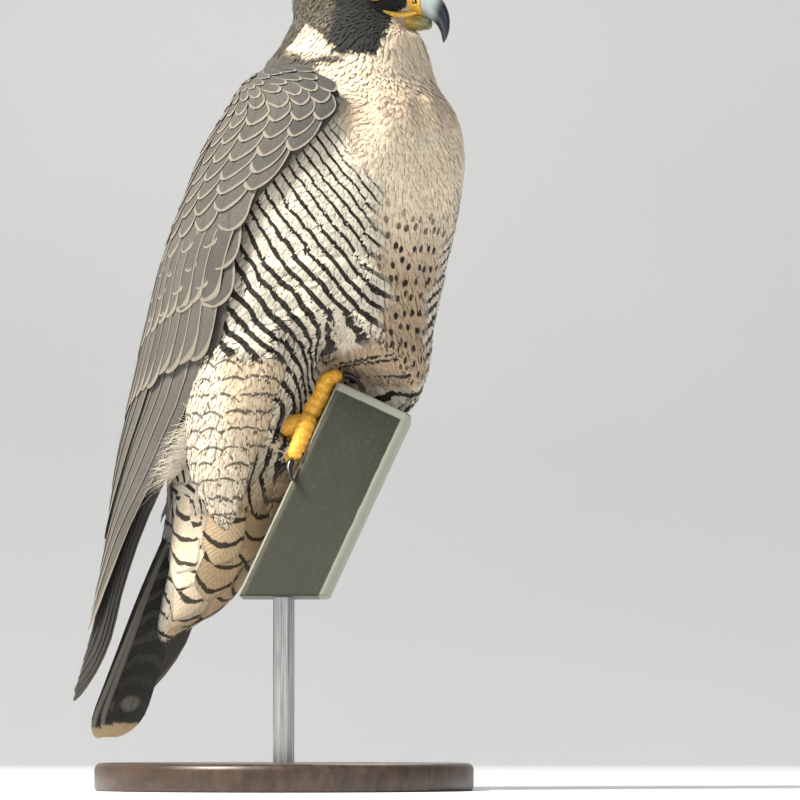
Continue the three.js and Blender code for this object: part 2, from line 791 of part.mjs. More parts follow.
// Torso, thighs, wings and tail
const torsoSpace = torsoBody(GAP);
const ventDraw = seeded(5);
const ventFeathers = VENT_ROWS.flatMap((row) =>
  Array.from({ length: row.count }, (_, i) => ventFeather(row, i, ventDraw)),
);
const wholeTorso = union([torsoBody(), ...ventFeathers]);
const torso = without(wholeTorso, halfSpace(NECK_FOOT, true), steelSpace, footHollow(1), footHollow(-1));
add("torso", torso, 0xc8bfae, 0.9);
for (const [name, side] of sides) {
  add("thigh_" + name, without(thighBody(side), torsoSpace, steelSpace), 0xe1d2be, 0.9);
  const neckSpace = levelBody(NECK, 26, 11, GAP);
  add("wing_" + name, without(wingBody(side), torsoSpace, thighBody(side, GAP), neckSpace), 0x78736a, 0.85);
}
add("tail", without(tailBody(), torsoSpace), 0x3a3834, 0.85);

// Perch and stand
add("perch", without(steelBody(), halfSpace(steelFoot, false)), 0x41443a, 0.55, 0.6);
add("stand_base", baseBody(), 0x2c2a28, 0.5);
add("stand_rod_near", rodBody(ROD.apart / 2), 0xb0b0b0, 0.3, 1);
add("stand_rod_far", rodBody(-ROD.apart / 2), 0xb0b0b0, 0.3, 1);

export default falcon;
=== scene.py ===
import math

import bmesh
import bpy
import numpy as np
from mathutils import Matrix, Vector
from mathutils.bvhtree import BVHTree
from mathutils.kdtree import KDTree


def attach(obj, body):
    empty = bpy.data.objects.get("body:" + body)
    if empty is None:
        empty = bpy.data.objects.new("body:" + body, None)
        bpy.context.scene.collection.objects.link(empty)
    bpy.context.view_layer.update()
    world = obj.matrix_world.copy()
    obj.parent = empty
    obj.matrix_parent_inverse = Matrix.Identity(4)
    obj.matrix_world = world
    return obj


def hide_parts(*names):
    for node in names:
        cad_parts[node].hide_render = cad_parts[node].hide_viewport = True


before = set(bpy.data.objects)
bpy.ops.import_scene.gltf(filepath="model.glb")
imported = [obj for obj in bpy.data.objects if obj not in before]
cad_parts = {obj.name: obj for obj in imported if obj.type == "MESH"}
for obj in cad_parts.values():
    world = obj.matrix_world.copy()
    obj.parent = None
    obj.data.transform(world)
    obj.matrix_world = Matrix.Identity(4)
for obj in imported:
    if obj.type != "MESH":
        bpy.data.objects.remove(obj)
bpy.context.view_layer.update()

# Driving sizes, shared with the solids
METRE = 0.001
SQUARENESS = 2.3
HEAD = {"x": 44, "y": 1, "z": 401.5, "turn": 20}
EYE = {"x": 19.5, "y": 18.2, "z": 1.5, "radius": 7.4}
TAIL = {"x": -57.5, "z": 160, "length": 150, "lean": 26.4}
STEEL = {"width": 41, "lean": 24.9, "right": 46, "near": 14, "top": 196}
FEET_APART = 34
BASE = {"radius": 96, "thick": 14}
SIDES = {"left": 1, "right": -1}

# Levels of the body from the vent up to the neck: height, front, back and half width
TORSO = [
    [75, -80, -88, 0],
    [80, -74, -90, 6],
    [95, -45, -84.5, 14],
    [108, -33, -78, 19],
    [123, -20, -71, 23.5],
    [150, -4, -70, 30],
    [172, 28, -71, 37],
    [190, 69, -70, 44],
    [210, 80, -66, 52],
    [235, 82, -60, 57],
    [262, 88, -49, 59.5],
    [290, 96, -37, 60.5],
    [318, 101, -23, 59],
    [338, 98, -12, 53],
    [352, 90, -5, 44],
    [364, 80, 2, 33],
    [370, 60, 20, 0],
]

# The neck from the shoulders into the head, in the same terms
NECK = [
    [340, 60, 20, 0],
    [345, 91, -8, 47],
    [352, 89, -6, 44],
    [360, 88, -4, 40],
    [370, 87, -1, 34],
    [377, 87, 4, 31],
    [383, 79, 8, 29],
    [392, 70, 15, 23],
    [403, 50, 35, 0],
]

# The mantle of folded wings round the body, from the wing tips up to the shoulders
MANTLE = [
    [40, -107, -151, 27],
    [70, -81, -131, 33],
    [100, -69, -115, 37],
    [137, -42, -101.5, 44],
    [172, -2, -94, 51],
    [205, 40, -83, 57],
    [240, 76, -71, 62],
    [275, 95, -57, 65.5],
    [300, 103, -43, 66.5],
    [322, 107, -31, 65],
    [340, 105, -18, 60],
    [354, 98, -10, 52],
    [364, 88, -4, 42],
]

# Where the front edge of the folded wing lies, in degrees round the mantle, and its back edge
WING_FRONT = [
    [40, 6],
    [66, 14],
    [94, 20],
    [152, 24],
    [190, 18],
    [220, 11],
    [262, 4],
    [290, 6],
    [318, 24],
    [336, 34],
    [348, 30],
    [362, 4],
]
WING_BACK = -85
LEFT_TUCK = {"turn": 17, "from": 275, "full": 320}

# The skull along its own axis: distance forward, top, bottom and half width
SKULL = [
    [-30.5, 0, -6, 0],
    [-28, 11, -17, 12],
    [-20, 21, -25, 21.5],
    [-8, 26, -29, 26],
    [5, 26.5, -30, 27],
    [16, 23, -28, 24.5],
    [24, 17.5, -23, 18],
    [30, 11.5, -18, 11.5],
    [34, 7, -15, 8.5],
    [36, 2, -10, 0],
]

# The bill in the skull's frame: centre forward and up, half height across the bend, half width
UPPER_BILL = [
    [27, -3, 7, 8],
    [33, -4, 8.4, 8.2],
    [40, -6, 7.4, 7],
    [45.5, -10, 6, 5.2],
    [48.6, -15, 4.2, 3.6],
    [49.8, -20.5, 2.3, 2],
    [49.2, -26.5, 0.5, 0.5],
]
LOWER_BILL = [
    [26, -14.3, 3.4, 6.8],
    [32, -15, 4, 6.6],
    [38, -15.8, 4, 5.4],
    [42.8, -16.8, 2.4, 3.2],
]
CERE_FRONT = 39

# A thigh's loose feathers from the flank to their tip: forward, aside, height, half thicknesses
THIGH = [
    [18, 33, 238, 20, 18],
    [6, 40, 212, 27, 19],
    [-3, 42, 184, 25, 17],
    [-7, 41, 157, 19, 13],
    [-6, 38, 130, 5, 4],
]

# Camera, in the photo's place: it looks slightly up at the bird's right and front
CAMERA = {"azimuth": 40, "elevation": -4.5, "distance": 2200, "right": 58.65, "up": 198.4, "lens": 194.1}

rng = np.random.default_rng(20)


# Tables and surfaces
def smoothstep(value, low, high):
    t = np.clip((np.asarray(value, float) - low) / (high - low), 0, 1)
    return t * t * (3 - 2 * t)


def hermite(share, low, high, start, end):
    """A cubic from low to high that starts and ends with the given slopes over its span."""
    return (
        (2 * share**3 - 3 * share**2 + 1) * low
        + (share**3 - 2 * share**2 + share) * start
        + (3 * share**2 - 2 * share**3) * high
        + (share**3 - share**2) * end
    )


def read_table(table, at):
    """Columns of a table at values of its first column, smoothly and without overshoot."""
    rows = np.asarray(table, float)
    at = np.asarray(at, float)
    keys = rows[:, 0]
    last = len(keys) - 1
    k = np.searchsorted(keys[1:last], at, side="left")
    span = (keys[k + 1] - keys[k])[..., None]
    share = np.clip((at[..., None] - keys[k][..., None]) / span, 0, 1)
    low = rows[k][..., 1:]
    high = rows[k + 1][..., 1:]
    step = (high - low) / span
    slopes = np.zeros_like(rows[:, 1:])
    slopes[1:last] = (rows[2:, 1:] - rows[:-2, 1:]) / (keys[2:] - keys[:-2])[:, None]

    def limited(slope):
        kept = np.sign(step) * np.minimum(np.abs(slope), 3 * np.abs(step))
        return np.where(step * slope <= 0, 0, kept)

    start = np.where((k > 0)[..., None], limited(slopes[k]), step) * span
    end = np.where((k + 2 <= last)[..., None], limited(slopes[k + 1]), step) * span
    return hermite(share, low, high, start, end)


def power(value, exponent):
    return np.sign(value) * np.abs(value) ** exponent


def level_point(table, height, turn, grow=0):
    """A point on a level of the body. Turn is 0 on the right side, 90 degrees at the front."""
    height, turn = np.broadcast_arrays(np.asarray(height, float), np.asarray(turn, float))
    front, back, half = np.moveaxis(read_table(table, height), -1, 0)
    swell = np.where(half > 0.01, grow, 0)
    length = np.where(half > 0.01, np.abs(front - back) / 2 + swell, 0)
    exponent = 2 / SQUARENESS
    x = (front + back) / 2 + power(np.sin(turn), exponent) * length
    y = -power(np.cos(turn), exponent) * (half + swell)
    return np.stack([x, y, height], axis=-1)


def unit(vectors):
    return vectors / np.maximum(np.linalg.norm(vectors, axis=-1, keepdims=True), 1e-9)


def mantle_point(height, turn, out, side):
    """A point over the mantle, on the bird's left for a side of 1 and on its right for -1."""
    step = 0.01
    around = level_point(MANTLE, height, turn + step) - level_point(MANTLE, height, turn - step)
    upward = level_point(MANTLE, height + 1, turn) - level_point(MANTLE, height - 1, turn)
    normal = unit(np.cross(around, upward))
    point = level_point(MANTLE, height, turn) + normal * np.asarray(out, float)[..., None]
    return point * np.array([1, -side, 1])


def wing_front(height, side):
    """Turn of a wing's front edge, in radians."""
    tuck = LEFT_TUCK["turn"] * smoothstep(height, LEFT_TUCK["from"], LEFT_TUCK["full"]) if side > 0 else 0
    return np.radians(read_table(WING_FRONT, height)[..., 0] - tuck)


def wing_point(height, back, out, side):
    """A point on the folded wing, at a distance behind its front edge."""
    height, back = np.broadcast_arrays(np.asarray(height, float), np.asarray(back, float))
    front, rear, half = np.moveaxis(read_table(MANTLE, height), -1, 0)
    arc = 1.03 * ((front - rear) / 2 + half) / 2
    turn = wing_front(height, side) - back / arc
    return mantle_point(height, turn, np.broadcast_to(out, height.shape), side)


# Frames: the skull's in the bird's, forward, left and up
HEAD_TURN = np.radians(HEAD["turn"])
HEAD_AXES = np.array(
    [
        [np.cos(HEAD_TURN), np.sin(HEAD_TURN), 0],
        [-np.sin(HEAD_TURN), np.cos(HEAD_TURN), 0],
        [0, 0, 1],
    ]
)
HEAD_CENTRE = np.array([HEAD["x"], HEAD["y"], HEAD["z"]])


def from_head(points):
    """Points of the skull's frame, forward, left and up, in the bird's frame."""
    return np.asarray(points, float) @ HEAD_AXES + HEAD_CENTRE


def to_head(points):
    return (np.asarray(points, float) - HEAD_CENTRE) @ HEAD_AXES.T


# The tail's frame: down along it from its root, to the bird's left, and out over its upper side
TAIL_LEAN = np.radians(TAIL["lean"])
TAIL_AXES = [
    [-np.sin(TAIL_LEAN), 0, -np.cos(TAIL_LEAN)],
    [0, 1, 0],
    [-np.cos(TAIL_LEAN), 0, np.sin(TAIL_LEAN)],
]
TAIL_ROOT = np.array([TAIL["x"], 0, TAIL["z"]])


def in_frame(origin, axes, *places):
    """Points from how far they lie along each axis of a frame."""
    for axis, place in zip(axes, np.broadcast_arrays(*places)):
        origin = origin + place[..., None] * axis
    return origin


def tail_point(down, left, up):
    return in_frame(TAIL_ROOT, TAIL_AXES, down, left, up)


# The steel's frame, which faces the camera: right and near in the photo, then up along it and across it
VIEW = np.radians(CAMERA["azimuth"])
STEEL_LEAN = np.radians(STEEL["lean"])
VIEW_RIGHT = np.array([np.cos(VIEW), np.sin(VIEW), 0])
VIEW_NEAR = np.array([np.sin(VIEW), -np.cos(VIEW), 0])
STEEL_ALONG = VIEW_RIGHT * np.sin(STEEL_LEAN) + np.array([0, 0, np.cos(STEEL_LEAN)])
STEEL_ACROSS = VIEW_RIGHT * np.cos(STEEL_LEAN) - np.array([0, 0, np.sin(STEEL_LEAN)])
STEEL_TOP = VIEW_RIGHT * STEEL["right"] + VIEW_NEAR * STEEL["near"] + np.array([0, 0, STEEL["top"]])


def steel_point(across, out, down):
    return in_frame(STEEL_TOP, (VIEW_NEAR, -STEEL_ALONG, STEEL_ACROSS), out, down, across)


# Meshes
def add_object(name, data):
    piece = bpy.data.objects.new(name, data)
    bpy.context.scene.collection.objects.link(piece)
    return piece


def new_mesh(name, points, faces):
    """An object from points in millimetres and faces of equal length."""
    faces = np.asarray(faces, np.int32)
    mesh = bpy.data.meshes.new(name)
    mesh.vertices.add(len(points))
    mesh.vertices.foreach_set("co", (np.asarray(points, np.float64) * METRE).astype(np.float32).ravel())
    mesh.loops.add(faces.size)
    mesh.loops.foreach_set("vertex_index", faces.ravel())
    mesh.polygons.add(len(faces))
    mesh.polygons.foreach_set("loop_start", np.arange(len(faces), dtype=np.int32) * faces.shape[1])
    smooth_faces(mesh)
    mesh.update(calc_edges=True)
    return add_object(name, mesh)


def smooth_faces(mesh):
    mesh.polygons.foreach_set("use_smooth", np.full(len(mesh.polygons), True))


def edit_mesh(mesh, change):
    """Changes a mesh by a function of its editable body."""
    body = bmesh.new()
    body.from_mesh(mesh)
    body.verts.ensure_lookup_table()
    change(body)
    body.to_mesh(mesh)
    body.free()


def finish_piece(piece, slot, material, *nodes):
    """Gives a piece its material and says what it rides on and stands for."""
    piece.data.materials.clear()
    piece.data.materials.append(material)
    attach(piece, "root")
    if nodes:
        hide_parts(*nodes)


def set_looks(mesh, looks, spread=np.asarray):
    """Attributes by name: colours where values are in fours, vectors where they are in threes."""
    for name, values in looks.items():
        values = np.asarray(spread(values), np.float32)
        kind, field = ("FLOAT_COLOR", "color") if values.shape[-1] == 4 else ("FLOAT_VECTOR", "vector")
        layer = mesh.attributes.new(name, kind, "POINT")
        layer.data.foreach_set(field, values.ravel())


def opaque(tint):
    return np.concatenate([tint, np.ones((*np.shape(tint)[:-1], 1))], axis=-1)


def grid_faces(rows, columns, closed=False):
    """Quads of a grid of points, row by row, wrapped round when closed."""
    r = np.arange(rows - 1)[:, None] * columns
    c = np.arange(columns if closed else columns - 1)[None, :]
    after = (c + 1) % columns
    return np.stack([r + c, r + after, r + columns + after, r + columns + c], axis=-1).reshape(-1, 4)


def ball_mesh(name, place, around, along):
    """A closed body warped from a ball: place(turn, share) gives the points, share 0 and 1 the poles."""
    turn = np.linspace(0, 2 * np.pi, around, endpoint=False)
    share = np.linspace(0, 1, along + 1)[1:-1]
    rings = place(turn[None, :], share[:, None]).reshape(-1, 3)
    poles = np.stack([place(np.array(0.0), np.array(end)) for end in (0.0, 1.0)])
    piece = new_mesh(name, np.vstack([rings, poles]), grid_faces(along - 1, around, closed=True))

    def close(body):
        first, second = body.verts[len(rings)], body.verts[len(rings) + 1]
        top = (along - 2) * around
        for k in range(around):
            after = (k + 1) % around
            body.faces.new([first, body.verts[after], body.verts[k]])
            body.faces.new([second, body.verts[top + k], body.verts[top + after]])
        bmesh.ops.recalc_face_normals(body, faces=body.faces)

    edit_mesh(piece.data, close)
    smooth_faces(piece.data)
    return piece


def curve_through(points, share):
    """Points of a smooth curve through others, with its direction, at shares of its length."""
    points = np.asarray(points, float)
    keys = np.concatenate([[0], np.cumsum(np.linalg.norm(np.diff(points, axis=0), axis=1))])
    keys = keys / keys[-1]
    table = np.column_stack([keys, points])
    step = 1e-3
    share = np.asarray(share, float)
    ahead = spline(table, np.minimum(share + step, 1)) - spline(table, np.maximum(share - step, 0))
    return spline(table, share), unit(ahead)


def spline(table, at):
    """Like read_table but free to overshoot, for smooth curves in space."""
    keys = table[:, 0]
    k = np.searchsorted(keys[1:-1], at, side="left")
    slopes = np.gradient(table[:, 1:], keys, axis=0)
    span = (keys[k + 1] - keys[k])[..., None]
    share = (at[..., None] - keys[k][..., None]) / span
    return hermite(share, table[k][..., 1:], table[k + 1][..., 1:], slopes[k] * span, slopes[k + 1] * span)


def limb_place(points, tall, wide, up, blunt):
    """Places a tapering limb: half thicknesses along up and across it at each of its points."""
    keys = np.linspace(0, 1, len(points))

    def place(turn, share):
        turn, share = np.broadcast_arrays(turn, share)
        centre, ahead = curve_through(points, share)
        side = unit(np.cross(np.broadcast_to(up, ahead.shape), ahead))
        over = np.cross(ahead, side)
        near = np.minimum(share, 1 - share) * blunt
        end = np.sqrt(np.maximum(0, 1 - np.maximum(0, 1 - near) ** 2))
        thick = np.interp(share, keys, tall) * end
        broad = np.interp(share, keys, wide) * end
        return centre - side * (np.sin(turn) * broad)[..., None] + over * (np.cos(turn) * thick)[..., None]

    return place


def apply_modifiers(piece):
    """Bakes a piece's modifiers into its mesh."""
    depsgraph = bpy.context.evaluated_depsgraph_get()
    mesh = bpy.data.meshes.new_from_object(piece.evaluated_get(depsgraph))
    piece.modifiers.clear()
    piece.data = mesh


def fuse(piece, voxel, smoothing=0):
    """Makes one skin of the bodies that a piece is joined from."""
    remesh = piece.modifiers.new("remesh", "REMESH")
    remesh.mode = "VOXEL"
    remesh.voxel_size = voxel * METRE
    if smoothing:
        smooth = piece.modifiers.new("smooth", "SMOOTH")
        smooth.iterations = smoothing
        smooth.factor = 0.5
    apply_modifiers(piece)
    smooth_faces(piece.data)


def join(name, pieces):
    """One object of several."""
    body = bmesh.new()
    for piece in pieces:
        body.from_mesh(piece.data)
        bpy.data.objects.remove(piece)
    mesh = bpy.data.meshes.new(name)
    body.to_mesh(mesh)
    body.free()
    return add_object(name, mesh)


# Vanes: closed blades, each a grid of rows along it and columns across it
def vane_faces(rows, columns):
    """Faces of one vane. Its upper and lower grids share their rims."""
    top = np.arange(rows * columns).reshape(rows, columns)
    under = top.copy()
    inner = (rows - 2) * (columns - 2)
    under[1:-1, 1:-1] = rows * columns + np.arange(inner).reshape(rows - 2, columns - 2)
    quads = []
    for grid, order in ((top, (0, 1, 2, 3)), (under, (3, 2, 1, 0))):
        corners = [grid[:-1, :-1], grid[:-1, 1:], grid[1:, 1:], grid[1:, :-1]]
        quads.append(np.stack([corners[k] for k in order], axis=-1).reshape(-1, 4))
    return np.vstack(quads)


def vane_values(top, under):
    """Values of the vertices of vanes, from grids (vane, row, column, ...) of both faces."""
    shape = (top.shape[0], -1, *top.shape[3:])
    return np.concatenate([top.reshape(shape), under[:, 1:-1, 1:-1].reshape(shape)], axis=1)


def vane_outwardness(top, under):
    """How far the upper faces' normals point away from the lower ones, for each vane."""
    normals = np.cross(top[:, 1:, 1:] - top[:, :-1, :-1], top[:, 1:, :-1] - top[:, :-1, 1:])
    thick = (top - under)[:, 1:-1, 1:-1].mean(axis=(1, 2))
    return np.sum(normals.sum(axis=(1, 2)) * thick, axis=-1)


def vane_piece(name, top, under, looks, patch, normals=None):
    """A piece of many vanes. Looks holds grids for the attributes, patch the bake map's grid."""
    count, rows, columns = top.shape[:3]
    points = vane_values(top, under)
    each = points.shape[1]
    faces = vane_faces(rows, columns)[None] + (np.arange(count) * each)[:, None, None]
    inward = vane_outwardness(top, under) < 0
    faces[inward] = faces[inward][:, :, ::-1]
    piece = new_mesh(name, points.reshape(-1, 3), faces.reshape(-1, 4))
    mesh = piece.data
    set_looks(mesh, looks, lambda values: vane_values(values, values))
    layer = mesh.uv_layers.new(name="OFBake")
    spread = vane_values(patch, patch).reshape(-1, 2)[faces.ravel()]
    layer.data.foreach_set("uv", np.clip(spread, 0, 1).astype(np.float32).ravel())
    if normals is None:
        mesh.set_sharp_from_angle(angle=np.radians(75))
    else:
        mesh.normals_split_custom_set_from_vertices(vane_values(normals, -normals).reshape(-1, 3))
    return piece


def flow_out(directions, normals):
    """Directions laid flat on a surface."""
    return unit(directions - normals * np.sum(directions * normals, axis=-1, keepdims=True))


# Materials
class Graph:
    """A material's nodes, with short ways to join them."""

    def __init__(self, name, roughness, **settings):
        self.material = bpy.data.materials.new(name)
        self.material.use_nodes = True
        self.nodes = self.material.node_tree.nodes
        self.links = self.material.node_tree.links
        self.shader = self.nodes["Principled BSDF"]
        self.shader.inputs["Roughness"].default_value = roughness
        for socket, value in settings.items():
            self.shader.inputs[socket.replace("_", " ")].default_value = value

    def feed(self, socket, value):
        if isinstance(value, bpy.types.NodeSocket):
            self.links.new(value, socket)
        else:
            socket.default_value = value

    def node(self, kind, inputs=None, **settings):
        node = self.nodes.new(kind)
        for key, value in settings.items():
            setattr(node, key, value)
        for key, value in (inputs or {}).items():
            self.feed(node.inputs[key], value)
        return node

    def math(self, operation, a, b=0.0, c=0.0):
        return self.node("ShaderNodeMath", {0: a, 1: b, 2: c}, operation=operation).outputs[0]

    def add(self, a, b):
        return self.math("ADD", a, b)

    def times(self, a, b):
        return self.math("MULTIPLY", a, b)

    def smooth(self, value, low, high, to_low=0.0, to_high=1.0):
        """A smooth step of a value from low to high."""
        inputs = {"Value": value, "From Min": low, "From Max": high, "To Min": to_low, "To Max": to_high}
        return self.node("ShaderNodeMapRange", inputs, interpolation_type="SMOOTHSTEP").outputs[0]

    def mix(self, share, a, b, blend="MIX"):
        node = self.node("ShaderNodeMix", {0: share, 6: a, 7: b}, data_type="RGBA", blend_type=blend)
        return node.outputs[2]

    def attribute(self, name):
        return self.node("ShaderNodeAttribute", attribute_name=name)

    def axes(self, name):
        """The three parts of a vector attribute."""
        return self.node("ShaderNodeSeparateXYZ", {0: self.attribute(name).outputs["Vector"]}).outputs

    def parts(self, attribute):
        """The first three values of a colour attribute."""
        return self.node("ShaderNodeSeparateColor", {0: attribute.outputs["Color"]}).outputs[:3]

    def vector(self, x, y, z=0.0):
        return self.node("ShaderNodeCombineXYZ", {0: x, 1: y, 2: z}).outputs[0]

    def place(self, squeeze=(1, 1, 1)):
        where = self.node("ShaderNodeTexCoord").outputs["Object"]
        return self.node("ShaderNodeMapping", {"Vector": where, "Scale": squeeze}).outputs[0]

    def noise(self, scale, detail=3.0, where=None, roughness=0.5):
        inputs = {"Scale": scale, "Detail": detail, "Roughness": roughness}
        inputs["Vector"] = where if where is not None else self.place()
        return self.node("ShaderNodeTexNoise", inputs).outputs["Fac"]

    def wander(self, scale, reach, where=None):
        """Noise about zero, up to about half its reach."""
        return self.times(self.add(self.noise(scale, 2.0, where), -0.5), reach)

    def tone(self, value):
        return self.node("ShaderNodeCombineColor", {0: value, 1: value, 2: value}).outputs[0]

    def bump(self, height, strength, distance):
        inputs = {"Height": height, "Strength": strength, "Distance": distance}
        node = self.node("ShaderNodeBump", inputs)
        self.links.new(node.outputs[0], self.shader.inputs["Normal"])
        return node

    def colour(self, value):
        self.feed(self.shader.inputs["Base Color"], value)

    def rough(self, value):
        self.feed(self.shader.inputs["Roughness"], value)


def wavy_bars(graph, phase, width):
    """Dark where the phase, in turns, is nearest a half."""
    phase = graph.add(phase, graph.wander(75.0, 0.55))
    phase = graph.add(phase, graph.wander(420.0, 0.10))
    wave = graph.math("FRACT", phase)
    distance = graph.times(graph.math("ABSOLUTE", graph.add(wave, -0.5)), 2.0)
    uneven = graph.add(width, graph.wander(140.0, 0.30))
    return graph.smooth(graph.math("SUBTRACT", distance, uneven), 0.07, -0.07)


def small_spots(graph, around, along):
    """Drops in uneven rows over the body, longer than wide."""
    where = graph.vector(graph.times(around, 0.15), graph.times(along, 0.125))
    inputs = {"Vector": where, "Scale": 1.0, "Randomness": 0.62}
    cells = graph.node("ShaderNodeTexVoronoi", inputs, voronoi_dimensions="2D").outputs["Distance"]
    return graph.smooth(cells, 0.27, 0.17)


def pale_rim(graph, own_along, own_across, share, inner=0.72, outer=0.90):
    """The pale border of a feather with a round tip."""
    beyond = graph.math("MAXIMUM", graph.times(graph.add(own_along, -0.72), 1 / 0.28), 0.0)
    rim = graph.add(graph.math("POWER", own_across, 2.0), graph.math("POWER", beyond, 2.0))
    return graph.times(graph.smooth(rim, inner, outer), share)


def barb_bump(graph, own_along, own_across, strength):
    """Fine barbs that leave the shaft at a slant."""
    slant = graph.add(graph.times(own_along, 90.0), graph.times(graph.math("ABSOLUTE", own_across), -26.0))
    graph.bump(graph.add(graph.math("SINE", slant), graph.noise(2600.0, 2.0)), strength, 0.0003)


def feather_material(name, dark, fringe, roughness=0.75, shaft=0.0, streaks=0.0, barbs=0.22):
    """Feathers: the tint of their place, wavy bars, small spots or streaks, and pale fringes."""
    graph = Graph(name, roughness, Sheen_Weight=0.1, Sheen_Roughness=0.5, Specular_IOR_Level=0.2)
    marks = graph.attribute("Marks")
    bars, bar_width, spots = graph.parts(marks)
    around, along, phase = graph.axes("Lie")
    own_along, own_across, chance = graph.axes("Barb")

    mottle = graph.smooth(graph.noise(700.0, 3.0), 0.25, 0.8, 0.86, 1.1)
    wide = graph.smooth(graph.noise(70.0, 2.0), 0.3, 0.7, 0.93, 1.05)
    lift = graph.times(graph.times(graph.add(graph.times(chance, 0.12), 0.94), mottle), wide)
    base = graph.mix(1.0, graph.attribute("Tint").outputs["Color"], graph.tone(lift), "MULTIPLY")
    if shaft:
        middle = graph.smooth(graph.math("ABSOLUTE", own_across), 0.10, 0.02)
        base = graph.mix(graph.times(middle, shaft), base, dark)
    base = graph.mix(pale_rim(graph, own_along, own_across, marks.outputs["Alpha"]), base, fringe)
    if streaks:
        where = graph.vector(graph.times(around, 0.9), graph.times(along, 0.22))
        pale = graph.smooth(graph.noise(1.0, 3.0, where), 0.5, 0.66, 0.0, streaks)
        base = graph.mix(graph.times(pale, spots), base, fringe)
        drawn = graph.times(wavy_bars(graph, phase, bar_width), bars)
    else:
        drawn = graph.times(wavy_bars(graph, phase, bar_width), bars)
        drawn = graph.math("MAXIMUM", drawn, graph.times(small_spots(graph, around, along), spots))
    graph.colour(graph.mix(drawn, base, dark))
    barb_bump(graph, own_along, own_across, barbs)
    return graph.material


def tail_material(name):
    """Tail feathers: dark with faint paler bands, a pale oval before the tip, buff at the very end."""
    graph = Graph(name, 0.6, Sheen_Weight=0.08, Sheen_Roughness=0.5, Specular_IOR_Level=0.25)
    edge_share, oval_share, tip_share = graph.parts(graph.attribute("Marks"))
    own_along, own_across, _ = graph.axes("Barb")
    phase = graph.add(graph.axes("Lie")[2], graph.times(graph.math("POWER", own_across, 2.0), -0.5))
    bands = wavy_bars(graph, phase, 0.36)
    fade = graph.smooth(own_along, 0.95, 0.35, 0.12, 0.8)
    base = graph.mix(graph.times(bands, fade), graph.attribute("Tint").outputs["Color"], TAIL_BAND)
    mottle = graph.smooth(graph.noise(500.0, 4.0), 0.3, 0.75, 0.75, 1.25)
    base = graph.mix(1.0, base, graph.tone(mottle), "MULTIPLY")
    outer = graph.smooth(graph.math("ABSOLUTE", own_across), 0.62, 0.8)
    base = graph.mix(graph.times(outer, edge_share), base, TAIL_EDGE)
    ahead = graph.math("POWER", graph.times(graph.add(own_along, -0.875), 1 / 0.034), 2.0)
    aside = graph.math("POWER", graph.times(graph.add(own_across, 0.12), 1 / 0.52), 2.0)
    oval = graph.smooth(graph.add(ahead, aside), 1.5, 0.3, 0.0, 0.8)
    base = graph.mix(graph.times(oval, oval_share), base, TAIL_OVAL)
    shaft = graph.smooth(graph.math("ABSOLUTE", own_across), 0.07, 0.02, 0.0, 0.5)
    base = graph.mix(shaft, base, grey(0.012))
    wavering = graph.add(own_along, graph.wander(300.0, 0.012))
    base = graph.mix(graph.times(graph.smooth(wavering, 0.950, 0.964), tip_share), base, TAIL_TIP)
    graph.colour(base)
    barb_bump(graph, graph.times(own_along, 2.5), own_across, 0.25)
    return graph.material


def grey(value):
    return (value, value, value, 1.0)


def horn_material(name, roughness, coat=0.0):
    """Horn in the colour that the piece carries, with fine growth lines."""
    graph = Graph(name, roughness, Coat_Weight=coat, Coat_Roughness=0.15)
    lines = graph.noise(160.0, 4.0, graph.place((1, 1, 0.4)))
    shade = graph.smooth(lines, 0.3, 0.75, 0.78, 1.08)
    graph.colour(graph.mix(1.0, graph.attribute("Tint").outputs["Color"], graph.tone(shade), "MULTIPLY"))
    graph.bump(graph.noise(900.0, 3.0), 0.12, 0.0002)
    return graph.material


def scaled_skin_material(name, tint, shadow, roughness, scale=520.0, depth=0.5):
    """Scaly or waxy bare skin."""
    graph = Graph(name, roughness, Subsurface_Weight=0.12, Subsurface_Scale=0.002)
    cells = graph.node("ShaderNodeTexVoronoi", {"Vector": graph.place(), "Scale": scale}).outputs["Distance"]
    shade = graph.smooth(cells, 0.2, 0.8)
    patchy = graph.smooth(graph.noise(120.0, 3.0), 0.35, 0.75, 0.0, 0.45)
    base = graph.mix(patchy, tint, shadow)
    graph.colour(graph.mix(graph.times(shade, 0.65), base, shadow))
    graph.bump(graph.times(cells, -1.0), depth, 0.0006)
    return graph.material


def eye_material(name):
    """A wet, very dark brown eye."""
    graph = Graph(name, 0.08, Coat_Weight=1.0, Coat_Roughness=0.03)
    depth = graph.smooth(graph.noise(420.0, 3.0), 0.35, 0.7)
    graph.colour(graph.mix(depth, (0.006, 0.004, 0.003, 1), (0.030, 0.016, 0.008, 1)))
    return graph.material


def steel_line(graph, axis, top):
    """Millimetres from the steel's top end along one of its own directions."""
    where = graph.node("ShaderNodeTexCoord").outputs["Object"]
    inputs = {0: where, 1: tuple(axis / METRE)}
    reach = graph.node("ShaderNodeVectorMath", inputs, operation="DOT_PRODUCT").outputs["Value"]
    return graph.add(reach, -float(top @ axis))


